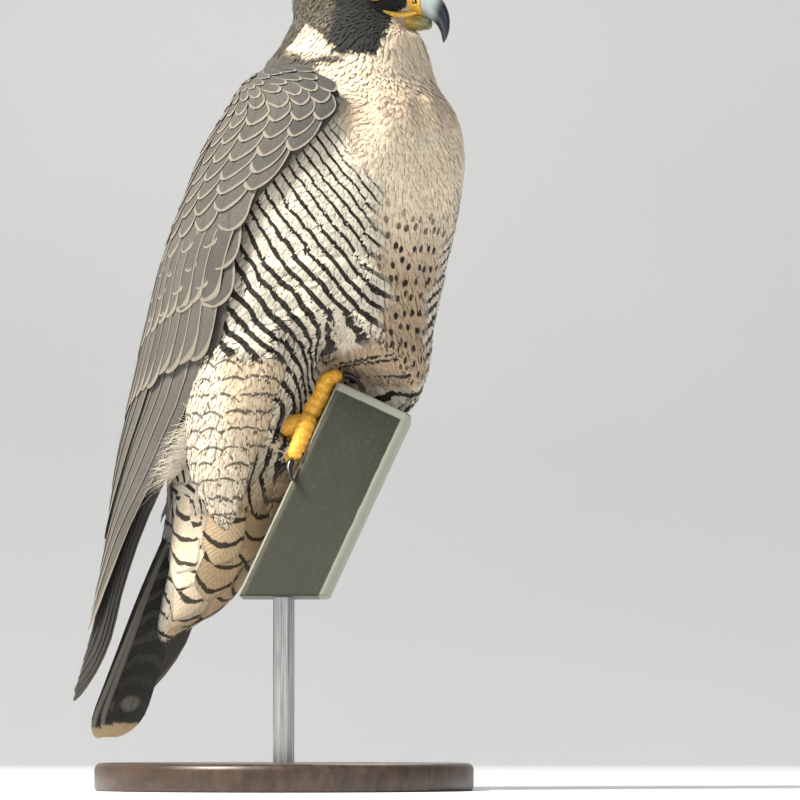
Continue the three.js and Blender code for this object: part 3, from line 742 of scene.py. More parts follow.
def steel_material(name):
    """Galvanised steel with weathered mottling: dull olive faces darkened with painted shade, and pale bands
    of painted highlight along its top, right and left edges.
    """
    graph = Graph(name, 0.5, Metallic=0.2)
    across = steel_line(graph, STEEL_ACROSS, STEEL_TOP)
    down = graph.times(steel_line(graph, STEEL_ALONG, STEEL_TOP), -1.0)
    half = STEEL["width"] / 2
    wide = graph.noise(11.0, 4.0, graph.place((1, 1, 0.5)))
    fine = graph.noise(420.0, 4.0)
    # Painted shade: the faces' dull olive is kept dark, and darker still towards the top end
    face = graph.mix(graph.smooth(down, 0.0, 90.0), (0.022, 0.026, 0.016, 1), (0.044, 0.046, 0.032, 1))
    face = graph.mix(graph.smooth(wide, 0.35, 0.7, 0.0, 0.5), face, (0.070, 0.072, 0.050, 1))
    face = graph.mix(graph.smooth(fine, 0.5, 0.8, 0.0, 0.25), face, (0.12, 0.12, 0.09, 1))
    ragged = graph.wander(160.0, 0.8)
    # Painted highlights: pale bands along the right, left and top edges
    right = graph.smooth(graph.add(across, ragged), half - 4.6, half - 3.9)
    left = graph.smooth(graph.add(across, ragged), -half + 1.3, -half + 0.7)
    end = graph.smooth(graph.add(down, ragged), 4.5, 3.8)
    bands = graph.math("MAXIMUM", graph.math("MAXIMUM", right, end), left)
    graph.colour(graph.mix(bands, face, (0.34, 0.35, 0.29, 1)))
    graph.bump(graph.add(fine, wide), 0.15, 0.0006)
    return graph.material


def wood_material(name):
    graph = Graph(name, 0.42, Coat_Weight=0.25, Coat_Roughness=0.25)
    grain = graph.noise(26.0, 6.0, graph.place((1.0, 9.0, 3.0)), 0.62)
    pores = graph.noise(420.0, 2.0, graph.place((0.25, 3.0, 1.0)))
    tone = graph.mix(graph.smooth(grain, 0.3, 0.72), (0.030, 0.018, 0.012, 1), (0.085, 0.052, 0.032, 1))
    graph.colour(graph.mix(graph.smooth(pores, 0.62, 0.72, 0.0, 0.6), tone, (0.012, 0.008, 0.006, 1)))
    graph.bump(graph.add(grain, pores), 0.1, 0.0004)
    return graph.material


def rod_material(name):
    graph = Graph(name, 0.3, Metallic=1.0)
    lines = graph.noise(60.0, 4.0, graph.place((30, 30, 0.6)))
    graph.colour(graph.mix(graph.smooth(lines, 0.3, 0.7), grey(0.42), grey(0.62)))
    graph.rough(graph.smooth(lines, 0.3, 0.7, 0.24, 0.38))
    graph.bump(lines, 0.08, 0.0002)
    return graph.material


# Skin
COAT_DEPTH = 2.6
HEAD_COAT_DEPTH = 1.5
SKIN_VOXEL = 2.2
SKIN_SMOOTHINGS = 6
FOOT_VOXEL = 0.5


def body_place(table, grow):
    low, high = table[0][0], table[-1][0]

    def place(turn, share):
        level = (1 - np.cos(np.pi * share)) / 2
        return level_point(table, low + (high - low) * level, turn + 0 * share, grow)

    return place


def skull_place(grow):
    first, end = SKULL[0][0], SKULL[-1][0]

    def place(turn, share):
        turn, share = np.broadcast_arrays(turn, share)
        x = first + (end - first) * (1 - np.cos(np.pi * share)) / 2
        top, bottom, half = np.moveaxis(read_table(SKULL, x), -1, 0)
        swell = np.where(half > 0.01, grow, 0)
        tall = np.where(half > 0.01, (top - bottom) / 2 + swell, 0)
        left = np.sin(turn) * (half + swell)
        up = (top + bottom) / 2 + np.cos(turn) * tall
        return from_head(np.stack([x, left, up], axis=-1))

    return place


def thigh_place(side, grow):
    rows = np.array(THIGH, float)
    points = rows[:, :3] * np.array([1, side, 1])
    return limb_place(points, rows[:, 3] + grow, rows[:, 4] + grow, np.array([1, 0, 0]), 10)


def in_skull(place):
    """The same places, from the skull's frame to the bird's."""
    return lambda turn, share: from_head(place(turn, share))


def rump_place(grow):
    down = [-16, 4, 26, 52]
    points = tail_point(down, 0, [2, 2, 1, 0.5])
    wide = np.array([15, 15, 13, 8]) + grow
    tall = np.array([11, 10, 8, 5]) + grow
    return limb_place(points, wide, tall, np.array([0, 1, 0]), 8)


BROW = [[33, 9, 8], [24, 17.5, 11], [12, 22, 11]]
BROW_THICK = [2.0, 3.0, 2.4]


def brow_place(side):
    points = from_head(np.array(BROW) * np.array([1, side, 1]))
    return limb_place(points, BROW_THICK, BROW_THICK, [0, 0, 1], 8)


def make_skin():
    """One skin for the head, neck, body, thighs and rump, drawn in by the coat's depth."""
    parts = [
        ball_mesh("torso_form", body_place(TORSO, -COAT_DEPTH), 96, 90),
        ball_mesh("neck_form", body_place(NECK, -COAT_DEPTH), 72, 40),
        ball_mesh("skull_form", skull_place(-HEAD_COAT_DEPTH), 64, 60),
        ball_mesh("rump_form", rump_place(-1), 32, 24),
    ]
    for side in SIDES.values():
        parts.append(ball_mesh("thigh_form", thigh_place(side, -COAT_DEPTH), 48, 40))
        parts.append(ball_mesh("brow_form", brow_place(side), 16, 24))
    skin = join("skin", parts)
    fuse(skin, SKIN_VOXEL, SKIN_SMOOTHINGS)
    make_room_for_feet(skin)
    return skin


# Where the belly draws in round the feet: how far out from the steel's middle it may reach beside them,
# where it widens again above and below the steel's top and off its near side, and how fast
FOOT_ROOM = {"out": 10, "above": -9, "below": 36, "beside": -34, "rise": 2.0, "spread": 1.6}
# Off the left thigh, where the belly also widens below: these far to the left and forward, fading in
LEFT_THIGH_EDGE = {"left": (26, 14), "forward": (-14, -24)}


def make_room_for_feet(skin):
    points = mesh_points(skin)
    local = points - STEEL_TOP
    across, out, down = local @ STEEL_ACROSS, local @ VIEW_NEAR, -(local @ STEEL_ALONG)
    room = FOOT_ROOM["out"] + FOOT_ROOM["rise"] * np.maximum(0, FOOT_ROOM["above"] - down)
    off_side = smoothstep(points[:, 1], *LEFT_THIGH_EDGE["left"])
    off_thigh = np.maximum(off_side, smoothstep(points[:, 0], *LEFT_THIGH_EDGE["forward"]))
    room = room + FOOT_ROOM["rise"] * np.maximum(0, down - FOOT_ROOM["below"]) * off_thigh
    room = room + FOOT_ROOM["spread"] * np.maximum(0, FOOT_ROOM["beside"] - across)
    shift = np.clip(out, -room, room) - out
    points = points + VIEW_NEAR * shift[:, None]
    skin.data.vertices.foreach_set("co", (points * METRE).astype(np.float32).ravel())
    skin.data.update()


def mesh_points(piece):
    points = np.empty(len(piece.data.vertices) * 3, np.float32)
    piece.data.vertices.foreach_get("co", points)
    return points.reshape(-1, 3).astype(float) / METRE


class Surface:
    """The skin as something to root feathers on, in millimetres."""

    def __init__(self, piece):
        mesh = piece.data
        mesh.calc_loop_triangles()
        corners = np.empty(len(mesh.loop_triangles) * 3, np.int32)
        mesh.loop_triangles.foreach_get("vertices", corners)
        self.corners = corners.reshape(-1, 3)
        self.points = mesh_points(piece)
        self.tree = BVHTree.FromPolygons(self.points.tolist(), self.corners.tolist())
        a, b, c = (self.points[self.corners[:, k]] for k in range(3))
        self.cross = np.cross(b - a, c - a)
        self.areas = np.linalg.norm(self.cross, axis=1) / 2

    def nearest(self, points):
        """The nearest points of the skin with its normals there."""
        flat = points.reshape(-1, 3)
        found = np.empty_like(flat)
        normals = np.empty_like(flat)
        for k, point in enumerate(flat):
            place, normal, _, _ = self.tree.find_nearest(Vector(point))
            found[k] = place
            normals[k] = normal
        return found.reshape(points.shape), normals.reshape(points.shape)

    def scatter(self, wanted, spacing):
        """Roots no nearer each other than a spacing, where wanted(points) allows them."""
        kept = wanted(self.points[self.corners].mean(axis=1))
        corners, areas = self.corners[kept], self.areas[kept]
        normals = unit(self.cross[kept])
        count = int(4.2 * areas.sum() / spacing**2)
        chosen = rng.choice(len(areas), count, p=areas / areas.sum())
        r, s = rng.random((2, count, 1))
        flip = r + s > 1
        r, s = np.where(flip, 1 - r, r), np.where(flip, 1 - s, s)
        a, b, c = (self.points[corners[chosen, k]] for k in range(3))
        points = a + r * (b - a) + s * (c - a)
        keep = thin_out(points, spacing)
        return points[keep], normals[chosen][keep]


def thin_out(points, spacing):
    """Indices of points that stay when none may lie nearer another than a spacing."""
    cells, kept = {}, []
    steps = [(x, y, z) for x in (-1, 0, 1) for y in (-1, 0, 1) for z in (-1, 0, 1)]
    keys = np.floor(points / spacing).astype(int).tolist()
    for index, (point, key) in enumerate(zip(points.tolist(), keys)):
        near = (cells.get((key[0] + x, key[1] + y, key[2] + z), ()) for x, y, z in steps)
        if all(math.dist(point, other) >= spacing for cell in near for other in cell):
            cells.setdefault(tuple(key), []).append(point)
            kept.append(index)
    return np.array(kept, int)


# Where things lie on the body
BODY_RADIUS = 62
LIE_SLANT = 1.02


def body_turn(points):
    """Degrees round the body: 0 on its right side, 90 at the front, 180 on its left, -90 at the back."""
    height = np.clip(points[..., 2], TORSO[1][0], 366)
    front, back, half = np.moveaxis(read_table(TORSO, height), -1, 0)
    x = (points[..., 0] - (front + back) / 2) / np.maximum((front - back) / 2, 4)
    y = points[..., 1] / np.maximum(half, 4)
    return np.degrees(np.arctan2(x, -y))


def body_aside(points):
    """Degrees from the middle of the breast, round either side, to 180 at the back."""
    return np.abs((body_turn(points) + 90) % 360 - 180)


def lie_slant(aside):
    """How far back feathers run for each millimetre down."""
    return LIE_SLANT * smoothstep(aside, 4, 42) * (1 - smoothstep(aside, 110, 150))


ASIDES = np.arange(181.0)
BACK_RUN = np.radians(BODY_RADIUS) * np.cumsum(lie_slant(ASIDES))


def body_lines(points):
    """Places on the plumage in millimetres: round the body from the breast, and along the lie."""
    aside = body_aside(points)
    around = np.radians(aside) * BODY_RADIUS * np.sign(points[..., 1])
    return around, np.interp(aside, ASIDES, BACK_RUN) - points[..., 2]


def wing_cover(points):
    """Degrees by which a point of the body lies behind the wing's front edge; negative in front of it."""
    height = np.clip(points[..., 2], 40, 362)
    left = points[..., 1] > 0
    edge = np.where(left, wing_front(height, 1), wing_front(height, -1))
    return np.degrees(edge) - (90 - body_aside(points))


def face_turn(points):
    """Degrees from the bill round either side of the head."""
    local = to_head(points)
    return np.degrees(np.arctan2(np.abs(local[..., 1]), local[..., 0]))


def outline_depth(x, y, outline):
    """How deep places lie inside an outline; negative outside it."""
    corners = np.asarray(outline, float)
    nearest = np.full(np.shape(x), np.inf)
    inside = np.zeros(np.shape(x), bool)
    for start, end in zip(corners, np.roll(corners, -1, axis=0)):
        edge = end - start
        share = np.clip(((x - start[0]) * edge[0] + (y - start[1]) * edge[1]) / (edge @ edge), 0, 1)
        gap = np.hypot(x - start[0] - share * edge[0], y - start[1] - share * edge[1])
        nearest = np.minimum(nearest, gap)
        crossing = (start[1] > y) != (end[1] > y)
        rise = edge[1] if edge[1] else 1e-9
        inside ^= crossing & (x < start[0] + (y - start[1]) * edge[0] / rise)
    return np.where(inside, nearest, -nearest)


# Folds of the loose plumage, as heights over the skin
def fold_height(points):
    around, along = body_lines(points)
    deep = smoothstep(points[..., 2], 180, 240)
    gather = np.sin(around / 3.4 + 1.3 * np.sin(along / 21)) * np.sin(along / 27 + 0.8)
    crease = np.sin(around / 5.6 - along / 13)
    return deep * (0.42 * gather + 0.34 * crease)


# Colours, as the light that each reflects
CREAM = np.array([0.80, 0.68, 0.51])
PEACH = np.array([0.74, 0.51, 0.33])
WHITE = np.array([0.66, 0.61, 0.51])
# Buff of the belly's middle: part real buff, part painted shade
BUFF_AND_SHADE = np.array([0.40, 0.28, 0.18])
# Tan of the vent, the thighs' fronts and the undertail: part real tan, part painted shade
VENT_TAN_AND_SHADE = np.array([0.53, 0.38, 0.23])
THROAT = np.array([0.70, 0.58, 0.42])
HOOD = np.array([0.020, 0.021, 0.020])
CROWN = np.array([0.040, 0.041, 0.040])
NAPE = np.array([0.085, 0.076, 0.060])
MANTLE_GREY = np.array([0.095, 0.088, 0.073])
RUMP_GREY = np.array([0.26, 0.26, 0.25])
WING_GREY = np.array([0.100, 0.094, 0.082])
WING_BLUE = np.array([0.050, 0.054, 0.052])
FRINGE = (0.25, 0.225, 0.185, 1.0)
HOOD_STREAK = (0.28, 0.24, 0.17, 1.0)
BAR_BLACK = (0.022, 0.019, 0.014, 1.0)
WING_SHAFT = (0.045, 0.040, 0.032, 1.0)
PRIMARY_SHAFT = (0.008, 0.008, 0.008, 1.0)
PRIMARY_BLACK = np.array([0.013, 0.012, 0.011])
TAIL_DARK = np.array([0.018, 0.017, 0.014])
TAIL_BAND = (0.075, 0.072, 0.058, 1.0)
TAIL_EDGE = (0.20, 0.19, 0.165, 1.0)
TAIL_OVAL = (0.19, 0.19, 0.145, 1.0)
TAIL_TIP = (0.50, 0.37, 0.22, 1.0)
FOOT_YELLOWS = ((0.95, 0.58, 0.07, 1.0), (0.72, 0.30, 0.03, 1.0))
CERE_YELLOWS = ((0.86, 0.56, 0.07, 1.0), (0.62, 0.33, 0.04, 1.0))

# Where the flank's bars begin: height and degrees from the middle of the breast
BAR_BORDER = [(200, 18), (250, 18), (272, 21), (290, 31), (298, 37), (320, 49)]
# The dark mantle's front border: height and degrees round the body from its right side
MANTLE_BORDER = [(336, 34), (347, 27), (356, 20), (362, 12), (364, 0)]
# The moustache's front border: height and degrees round the head from the bill
MOUSTACHE_FRONT = [(366, 51), (372, 47), (378, 43), (386, 28), (392, 16), (398, 8), (402, -10)]
HOOD_BOTTOM = 365.6
# The pale patch of the cheek: round the head and up, in millimetres
CHEEK_PATCH = [
    (65.7, 384.5), (70, 377.5), (73.5, 372.5), (66, 368.5), (58.5, 366),
    (52.5, 364.6), (44, 366.2), (43.2, 369.2), (49, 372.8), (53.5, 378.4),
]
FACE_MM = 0.52


def blend(a, b, share):
    return a + (b - a) * np.asarray(share, float)[..., None]


def table_at(table, at):
    keys, values = zip(*table)
    return np.interp(at, keys, values)


def plumage(points):
    """Tint of any place on the skin, with its marks: bars, their width, spots and streaks, and fringe."""
    height = points[..., 2]
    aside = body_aside(points)
    ragged = 4 * np.sin(height / 9) + 3 * np.sin(height / 3.9 + 1)
    flank = smoothstep(aside - table_at(BAR_BORDER, height) + ragged, -5, 5)
    vent = smoothstep(height, 172, 140)
    tint = blend(CREAM, WHITE, flank * smoothstep(height, 350, 322))
    # The belly's middle below the breast turns buff, darkened with painted shade
    tint = blend(tint, BUFF_AND_SHADE, 0.85 * (1 - flank) * smoothstep(height, 296, 246))
    flush = smoothstep(height, 322, 334) * smoothstep(height, 352, 342)
    tint = blend(tint, PEACH, 0.30 * (1 - flank) * flush)
    # The vent's front turns tan, darkened with painted shade
    tint = blend(tint, VENT_TAN_AND_SHADE, vent * smoothstep(aside, 100, 30))
    bars = np.maximum(flank * smoothstep(height, 334, 322), 0.9 * vent)
    width = 0.27 + 0.16 * smoothstep(height, 305, 225) - 0.24 * vent
    spots = (1 - flank) * smoothstep(height, 306, 268) * (1 - vent)
    throat = smoothstep(height, 360, 369)
    tint = blend(tint, THROAT, 0.8 * throat)

    rump = smoothstep(aside, 126, 142) * smoothstep(height, 344, 334)
    tint = blend(tint, blend(RUMP_GREY, MANTLE_GREY, smoothstep(height, 180, 230)), rump)
    bars = bars * (1 - rump * smoothstep(height, 150, 175))
    edge = 90 - table_at(MANTLE_BORDER, height)
    mantle = smoothstep(aside - edge, -1.5, 1.5) * smoothstep(height, 330, 338)
    tint = blend(tint, MANTLE_GREY, mantle)
    bars = bars * (1 - mantle)

    facing = face_turn(points)
    behind = smoothstep(facing - table_at(MOUSTACHE_FRONT, height), -1.5, 1.5)
    hood = behind * smoothstep(height, HOOD_BOTTOM - 0.7, HOOD_BOTTOM + 0.7)
    dark = blend(HOOD, NAPE, smoothstep(facing, 82, 104))
    dark = blend(dark, CROWN, smoothstep(to_head(points)[..., 2], 4, 16))
    tint = blend(tint, dark, hood)
    collar = smoothstep(np.abs(height - 362.8), 2.6, 1.4) * smoothstep(facing, 72, 80)
    tint = blend(tint, NAPE, collar)
    patch = smoothstep(outline_depth(facing * FACE_MM, height, CHEEK_PATCH), -0.6, 0.6)
    tint = blend(tint, CREAM, patch)
    streaks = hood * (1 - patch) * smoothstep(facing, 80, 100)
    marks = np.stack([bars * (1 - hood), width, np.maximum(spots, streaks), 0 * height], axis=-1)
    return tint, marks


def thigh_plumage(points):
    flat = np.zeros(points.shape[:-1])
    tint = blend(CREAM, WHITE, flat + 0.45)
    # The thigh's front turns tan, darkened with painted shade
    tint = blend(tint, VENT_TAN_AND_SHADE, 0.5 * smoothstep(points[..., 0], 2, 16))
    return tint, np.stack([flat + 0.8, flat + 0.17, flat, flat], axis=-1)


# Coat
# How far apart the flank's bars are at places along the lie, in millimetres
BAR_PITCH = [(-330, 5.0), (-280, 5.4), (-250, 6.8), (-205, 9.0), (-120, 10.5)]
ALONGS = np.arange(-420.0, 60.0)
BAR_TURNS = np.cumsum(1 / table_at(BAR_PITCH, ALONGS))
THIGH_PITCH = 8.4
VENT_PITCH = 10.5
VENT_LIE = np.array([-0.60, 0, -0.80])


def body_phase(along, points):
    """Turns of the bars' rhythm at places along the lie."""
    return np.interp(along, ALONGS, BAR_TURNS)


def thigh_phase(along, points):
    return -points[..., 2] / THIGH_PITCH


def vent_phase(along, points):
    return points @ VENT_LIE / VENT_PITCH


def body_lie(points, normals):
    """Down the breast, and more and more backwards over the flanks."""
    side = np.where(points[..., 1] > 0, 1.0, -1.0)[..., None]
    back = unit(np.cross(np.array([0, 0, 1.0]), normals)) * side
    slant = lie_slant(body_aside(points))[..., None]
    low = smoothstep(points[..., 2], 175, 140)[..., None]
    ahead = unit(np.array([0, 0, -1.0]) + slant * back)
    return flow_out(ahead * (1 - low) + VENT_LIE * low, normals)


def steady_lie(*direction):
    """Feathers that all point one way, laid flat on the skin."""
    return lambda points, normals: flow_out(np.array(direction), normals)


def head_lie(points, normals):
    """Away from the bill's base, back and then down the neck."""
    local = to_head(points)
    away = unit(local - np.array([36, 0, -6])) + np.array([-0.35, 0, -0.1])
    fall = smoothstep(local[..., 0], 8, -20)[..., None] * np.array([0.2, 0, -1.8])
    cheek = smoothstep(local[..., 2], -8, -26)[..., None] * np.array([0.1, 0, -0.9])
    return flow_out((away + fall + cheek) @ HEAD_AXES, normals)


def map_place(across, up):
    """A place on the bake map from shares of its width and height, clear of its edges."""
    return np.stack([0.02 + 0.96 * across, 0.02 + 0.96 * up], axis=-1)


def unwrap_body(points):
    """The bake map's place of a point: round the body and up it."""
    return map_place((body_turn(points) / 180 + 1) / 2, (points[..., 2] - 70) / 340)


def thigh_column(height, column):
    """A value of the thigh's table at a height."""
    rows = np.array(THIGH, float)[::-1]
    return np.interp(height, rows[:, 2], rows[:, column])


def unwrap_thigh(points):
    height = points[..., 2]
    ahead = points[..., 0] - thigh_column(height, 0)
    aside = points[..., 1] - thigh_column(height, 1) * np.sign(points[..., 1])
    return map_place((np.degrees(np.arctan2(aside, ahead)) / 180 + 1) / 2, (height - 120) / 145)


def unwrap_head(points):
    """Flattened from the crown outwards."""
    local = unit(to_head(points))
    fall = np.arccos(np.clip(local[..., 2], -1, 1)) / np.pi
    around = np.arctan2(local[..., 1], local[..., 0])
    return np.stack([0.5 + 0.48 * fall * np.cos(around), 0.5 + 0.48 * fall * np.sin(around)], axis=-1)


TUFT_PATCH = 0.003


def tuft_patch(root_places, share, across):
    """Each tuft's patch of the bake map, at the place of its root."""
    u = root_places[:, None, None, 0] + TUFT_PATCH * across / 2 + 0 * share
    v = root_places[:, None, None, 1] + TUFT_PATCH * (share - 0.5) + 0 * across
    return np.stack(np.broadcast_arrays(u, v), axis=-1)


def parents_for(roots, normals, lie, spacing):
    """The larger feather that each tuft belongs to: its root, direction and a chance of its own."""
    chosen = thin_out(roots, spacing)
    centres, centre_normals = roots[chosen], normals[chosen]
    tree = KDTree(len(centres))
    for index, centre in enumerate(centres):
        tree.insert(centre, index)
    tree.balance()
    ahead = lie(centres, centre_normals)
    owner = np.array([tree.find(Vector(root))[1] for root in roots])
    return {
        "centre": centres[owner],
        "ahead": ahead[owner],
        "aside": np.cross(centre_normals, ahead)[owner],
        "chance": rng.random(len(centres))[owner],
    }


# Tracts of the coat: tufts' spacing, length and width, the larger feathers' spacing, how far tufts stand
# over the skin, how domed and how arched in their bars the larger feathers look, how untidy they lie, how
# many rows of points a tuft has, and how much each tuft stands out by itself
TRACT_SIZES = ("spacing", "length", "width", "feather", "lift", "dome", "arch", "ragged", "rows", "relief")
TRACTS = {
    "head": (1.25, 5.0, 1.8, 4.0, 0.8, 0.12, 0.1, 0.10, 4, 0.6),
    "neck": (1.5, 8, 2.9, 6.0, 1.3, 0.10, 0.1, 0.08, 5, 0.4),
    "mantle": (4.0, 14, 9.5, 9.0, 1.9, 0.1, 0.1, 0.05, 5, 0.8),
    "chest": (1.6, 10, 3.5, 9.0, 1.3, 0.12, 0.2, 0.07, 5, 0.3),
    "belly": (1.8, 12, 3.6, 12.5, 1.9, 0.55, 0.3, 0.08, 5, 0.5),
    "thigh": (1.7, 12, 3.4, 8.5, 1.8, 0.16, 0.45, 0.12, 5, 0.25),
    "vent": (2.4, 14, 3.4, 12.0, 0.2, 0.2, 0.4, 0.08, 5, 0.5),
}
ROOT_DEPTH = 0.7
TUFT_SHAPES = {4: [0.5, 1.0, 0.85, 0.14], 5: [0.45, 0.9, 1.0, 0.8, 0.14]}


def lay_spines(surface, roots, normals, heading, long, rows):
    """Points along each tuft as it follows the skin, with the skin's normals there."""
    spine = np.empty((len(roots), rows, 3))
    outs = np.empty((len(roots), rows, 3))
    spine[:, 0], outs[:, 0] = roots, normals
    for k in range(1, rows):
        heading = flow_out(heading, outs[:, k - 1])
        step = (long / (rows - 1))[:, None]
        spine[:, k], outs[:, k] = surface.nearest(spine[:, k - 1] + heading * step)
    return spine, outs


def grow_coat(name, surface, region, tract, lie, looks, unwrap, rhythm):
    """Tufts over a region of the skin, gathered in larger feathers of many tufts each."""
    roots, normals = surface.scatter(region, tract["spacing"])
    feather = parents_for(roots, normals, lie, tract["feather"])
    count, rows, relief = len(roots), tract["rows"], tract["relief"]
    long = tract["length"] * (0.85 + 0.3 * rng.random(count))
    broad = tract["width"] * (0.85 + 0.3 * rng.random(count))
    ahead = lie(roots, normals)
    offset = np.sum((roots - feather["centre"]) * feather["aside"], axis=1) / tract["feather"]
    behind = np.sum((roots - feather["centre"]) * feather["ahead"], axis=1) / tract["feather"]
    sway = 0.4 * offset + tract["ragged"] * rng.standard_normal(count)
    heading = unit(ahead + np.cross(normals, ahead) * sway[:, None])
    spine, outs = lay_spines(surface, roots, normals, heading, long, rows)

    share = np.linspace(0, 1, rows)
    q = np.linspace(-1, 1, 3)
    crown = 1 - np.clip(offset**2 + 0.3 * behind**2, 0, 1)
    rise = tract["lift"] + 1.7 * tract["dome"] * (2 * crown - 1) + 0.2 * relief * rng.standard_normal(count)
    height = -ROOT_DEPTH + (np.maximum(rise, 0.2) + ROOT_DEPTH)[:, None] * share[None] ** 0.8
    if tract["length"] > 8:
        height = height + fold_height(spine) * share[None]
    tint, marks = looks(spine + 0.5 * rng.standard_normal((count, 1, 3)))
    spine = spine + outs * height[..., None]
    side = unit(np.cross(outs, unit(np.gradient(spine, axis=1))))
    half = broad[:, None] * np.array(TUFT_SHAPES[rows])[None] / 2
    top = spine[:, :, None] + side[:, :, None] * (half[:, :, None] * q)[..., None]
    top = top + outs[:, :, None] * (0.3 * relief * half[:, :, None] * (1 - q**2))[..., None]
    under = top - outs[:, :, None] * (0.25 * (1 - q**2))[None, None, :, None]

    grid = (count, rows, 3)
    gap = top - feather["centre"][:, None, None]
    u = np.sum(gap * feather["ahead"][:, None, None], axis=-1) / tract["feather"]
    v = np.sum(gap * feather["aside"][:, None, None], axis=-1) / tract["feather"]
    around, along = body_lines(top)
    phase = rhythm(along, top) + 0.12 * (feather["chance"][:, None, None] - 0.5) - tract["arch"] * v**2
    chance = rng.random(count)[:, None, None]
    looks_grid = {
        "Tint": np.broadcast_to(opaque(tint)[:, :, None], (*grid, 4)),
        "Marks": np.broadcast_to(marks[:, :, None], (*grid, 4)),
        "Lie": np.stack([around, along, phase], axis=-1),
        "Barb": np.stack(np.broadcast_arrays(share[None, :, None], q, chance), axis=-1),
    }
    bent = outs[:, :, None] + side[:, :, None] * (0.5 * relief * q)[None, None, :, None]
    bent = bent + feather["aside"][:, None, None] * (tract["dome"] * 1.5 * np.clip(v, -1, 1))[..., None]
    bent = bent + feather["ahead"][:, None, None] * (tract["dome"] * 1.1 * np.clip(u - 0.3, -1, 1))[..., None]
    if tract["length"] > 8:
        bent = bent - fold_slope(top, outs[:, :, None])
    patch = tuft_patch(unwrap(roots), share[None, :, None], q[None, None, :])
    return vane_piece(name, top, under, looks_grid, patch, unit(bent))


def fold_slope(points, outs):
    """The folds' slope along the surface, as a vector to take from its normal."""
    step = 1.0
    slope = np.zeros_like(points)
    here = fold_height(points)
    for axis in np.eye(3):
        along = axis - outs * np.sum(outs * axis, axis=-1, keepdims=True)
        slope = slope + ((fold_height(points + along * step) - here) / step)[..., None] * along
    return slope


# Wings
VANE_SHARES = 1 - (1 - np.linspace(0, 1, 16)) ** 1.6
COVERT_SHARES = 1 - (1 - np.linspace(0, 1, 11)) ** 1.5
VANE_COLUMNS = 9


def vane_width(share, root=0.5, round_from=0.7):
    grown = root + (1 - root) * np.sin(np.minimum(share, 0.55) / 0.55 * np.pi / 2)
    tip = 1 - np.maximum(0, (share - round_from) / (1 - round_from)) ** 2
    return grown * np.sqrt(np.maximum(0.02, tip))


def wing_vanes(side, feathers, shares, columns):
    """Vanes on the folded wing from arrays of each feather's root, tip and sizes."""
    q = np.linspace(-1, 1, columns)
    share = shares[None, :, None]
    count = len(feathers["root_z"])

    def of(key):
        return np.broadcast_to(np.asarray(feathers[key], float), (count,))[:, None, None]

    drop = of("root_z") - of("tip_z")
    shift = of("root_back") - of("tip_back")
    length = np.hypot(drop, shift)
    reach = q[None, None, :] * of("half") * vane_width(share, 0.55, feathers["round_from"])
    height = of("root_z") - drop * share + feathers["square"] * reach * shift / length
    back = of("root_back") - shift * share - reach * (drop / length) ** feathers["square"]
    lift = of("root_lift") + (of("lift") - of("root_lift")) * np.minimum(1, share * feathers["rise"])
    rise = lift + of("tilt") * reach + of("camber") * (1 - q**2)
    thick = of("thick") * (1 - q**2)
    top = wing_point(height, back, rise, side)
    under = wing_point(height, back, rise - thick, side)
    return top, under


def vane_looks(tint, marks, shares, columns, phase=0.0):
    """Looks of vanes from each one's own tint and marks."""
    count = len(tint)
    q = np.linspace(-1, 1, columns)
    grid = (count, len(shares), columns)
    share = np.broadcast_to(shares[None, :, None], grid)
    across = np.broadcast_to(q[None, None, :], grid)
    chance = np.broadcast_to(rng.random(count)[:, None, None], grid)
    return {
        "Tint": np.broadcast_to(opaque(tint)[:, None, None], (*grid, 4)),
        "Marks": np.broadcast_to(marks[:, None, None], (*grid, 4)),
        "Lie": np.stack([share * 0, share * 0, phase + 0 * share], axis=-1),
        "Barb": np.stack([share, across, chance], axis=-1),
    }


def wing_patch(root_z, root_back, shares, columns):
    q = np.linspace(-1, 1, columns)
    places = [0.05 + 0.9 * np.asarray(root_back) / 110, 0.05 + 0.9 * (np.asarray(root_z) - 200) / 170]
    return tuft_patch(np.clip(np.stack(places, axis=-1), 0.01, 0.99), shares[None, :, None], q[None, None, :])


def strip_patch(count, shares, columns):
    """Side by side strips of the bake map for the long feathers of a row."""
    q = np.linspace(-1, 1, columns)
    k = np.arange(count)[:, None, None]
    u = (k + 0.5 + 0.42 * q[None, None, :]) / count + 0 * shares[None, :, None]
    v = 0.03 + 0.94 * (1 - shares[None, :, None]) + 0 * u
    return np.stack([u, v], axis=-1)


# Rows of long feathers from the front of the wing to its back: where they root and where their tips lie
FLIGHT_ROWS = {
    "primaries": {"count": 9, "root_z": (224, 224), "root_back": (9, 42), "tip_z": (46, 92),
                  "tip_back": (4, 33), "bow": 1.5, "half": 7.6, "lift": -5.2, "tilt": 0.16, "fringe": 0.12},
    "secondaries": {"count": 15, "root_z": (258, 262), "root_back": (10, 102), "tip_z": (84, 196),
                    "tip_back": (20, 96), "half": 6.8, "lift": -1.9, "tilt": 0.12, "fringe": 0.75},
    "tertials": {"count": 8, "root_z": (268, 270), "root_back": (44, 100), "tip_z": (128, 196),
                 "tip_back": (40, 94), "half": 6.4, "lift": -0.6, "tilt": 0.10, "fringe": 0.9},
    "greater_coverts": {"count": 15, "root_z": (280, 272), "root_back": (9, 101), "tip_z": (216, 176),
                        "tip_back": (10, 94), "half": 6.0, "lift": 0.3, "tilt": 0.10, "fringe": 0.85},
    "median_coverts": {"count": 13, "root_z": (300, 290), "root_back": (8, 101), "tip_z": (244, 214),
                       "tip_back": (9, 97), "half": 6.4, "lift": 0.9, "tilt": 0.08, "fringe": 0.95},
}


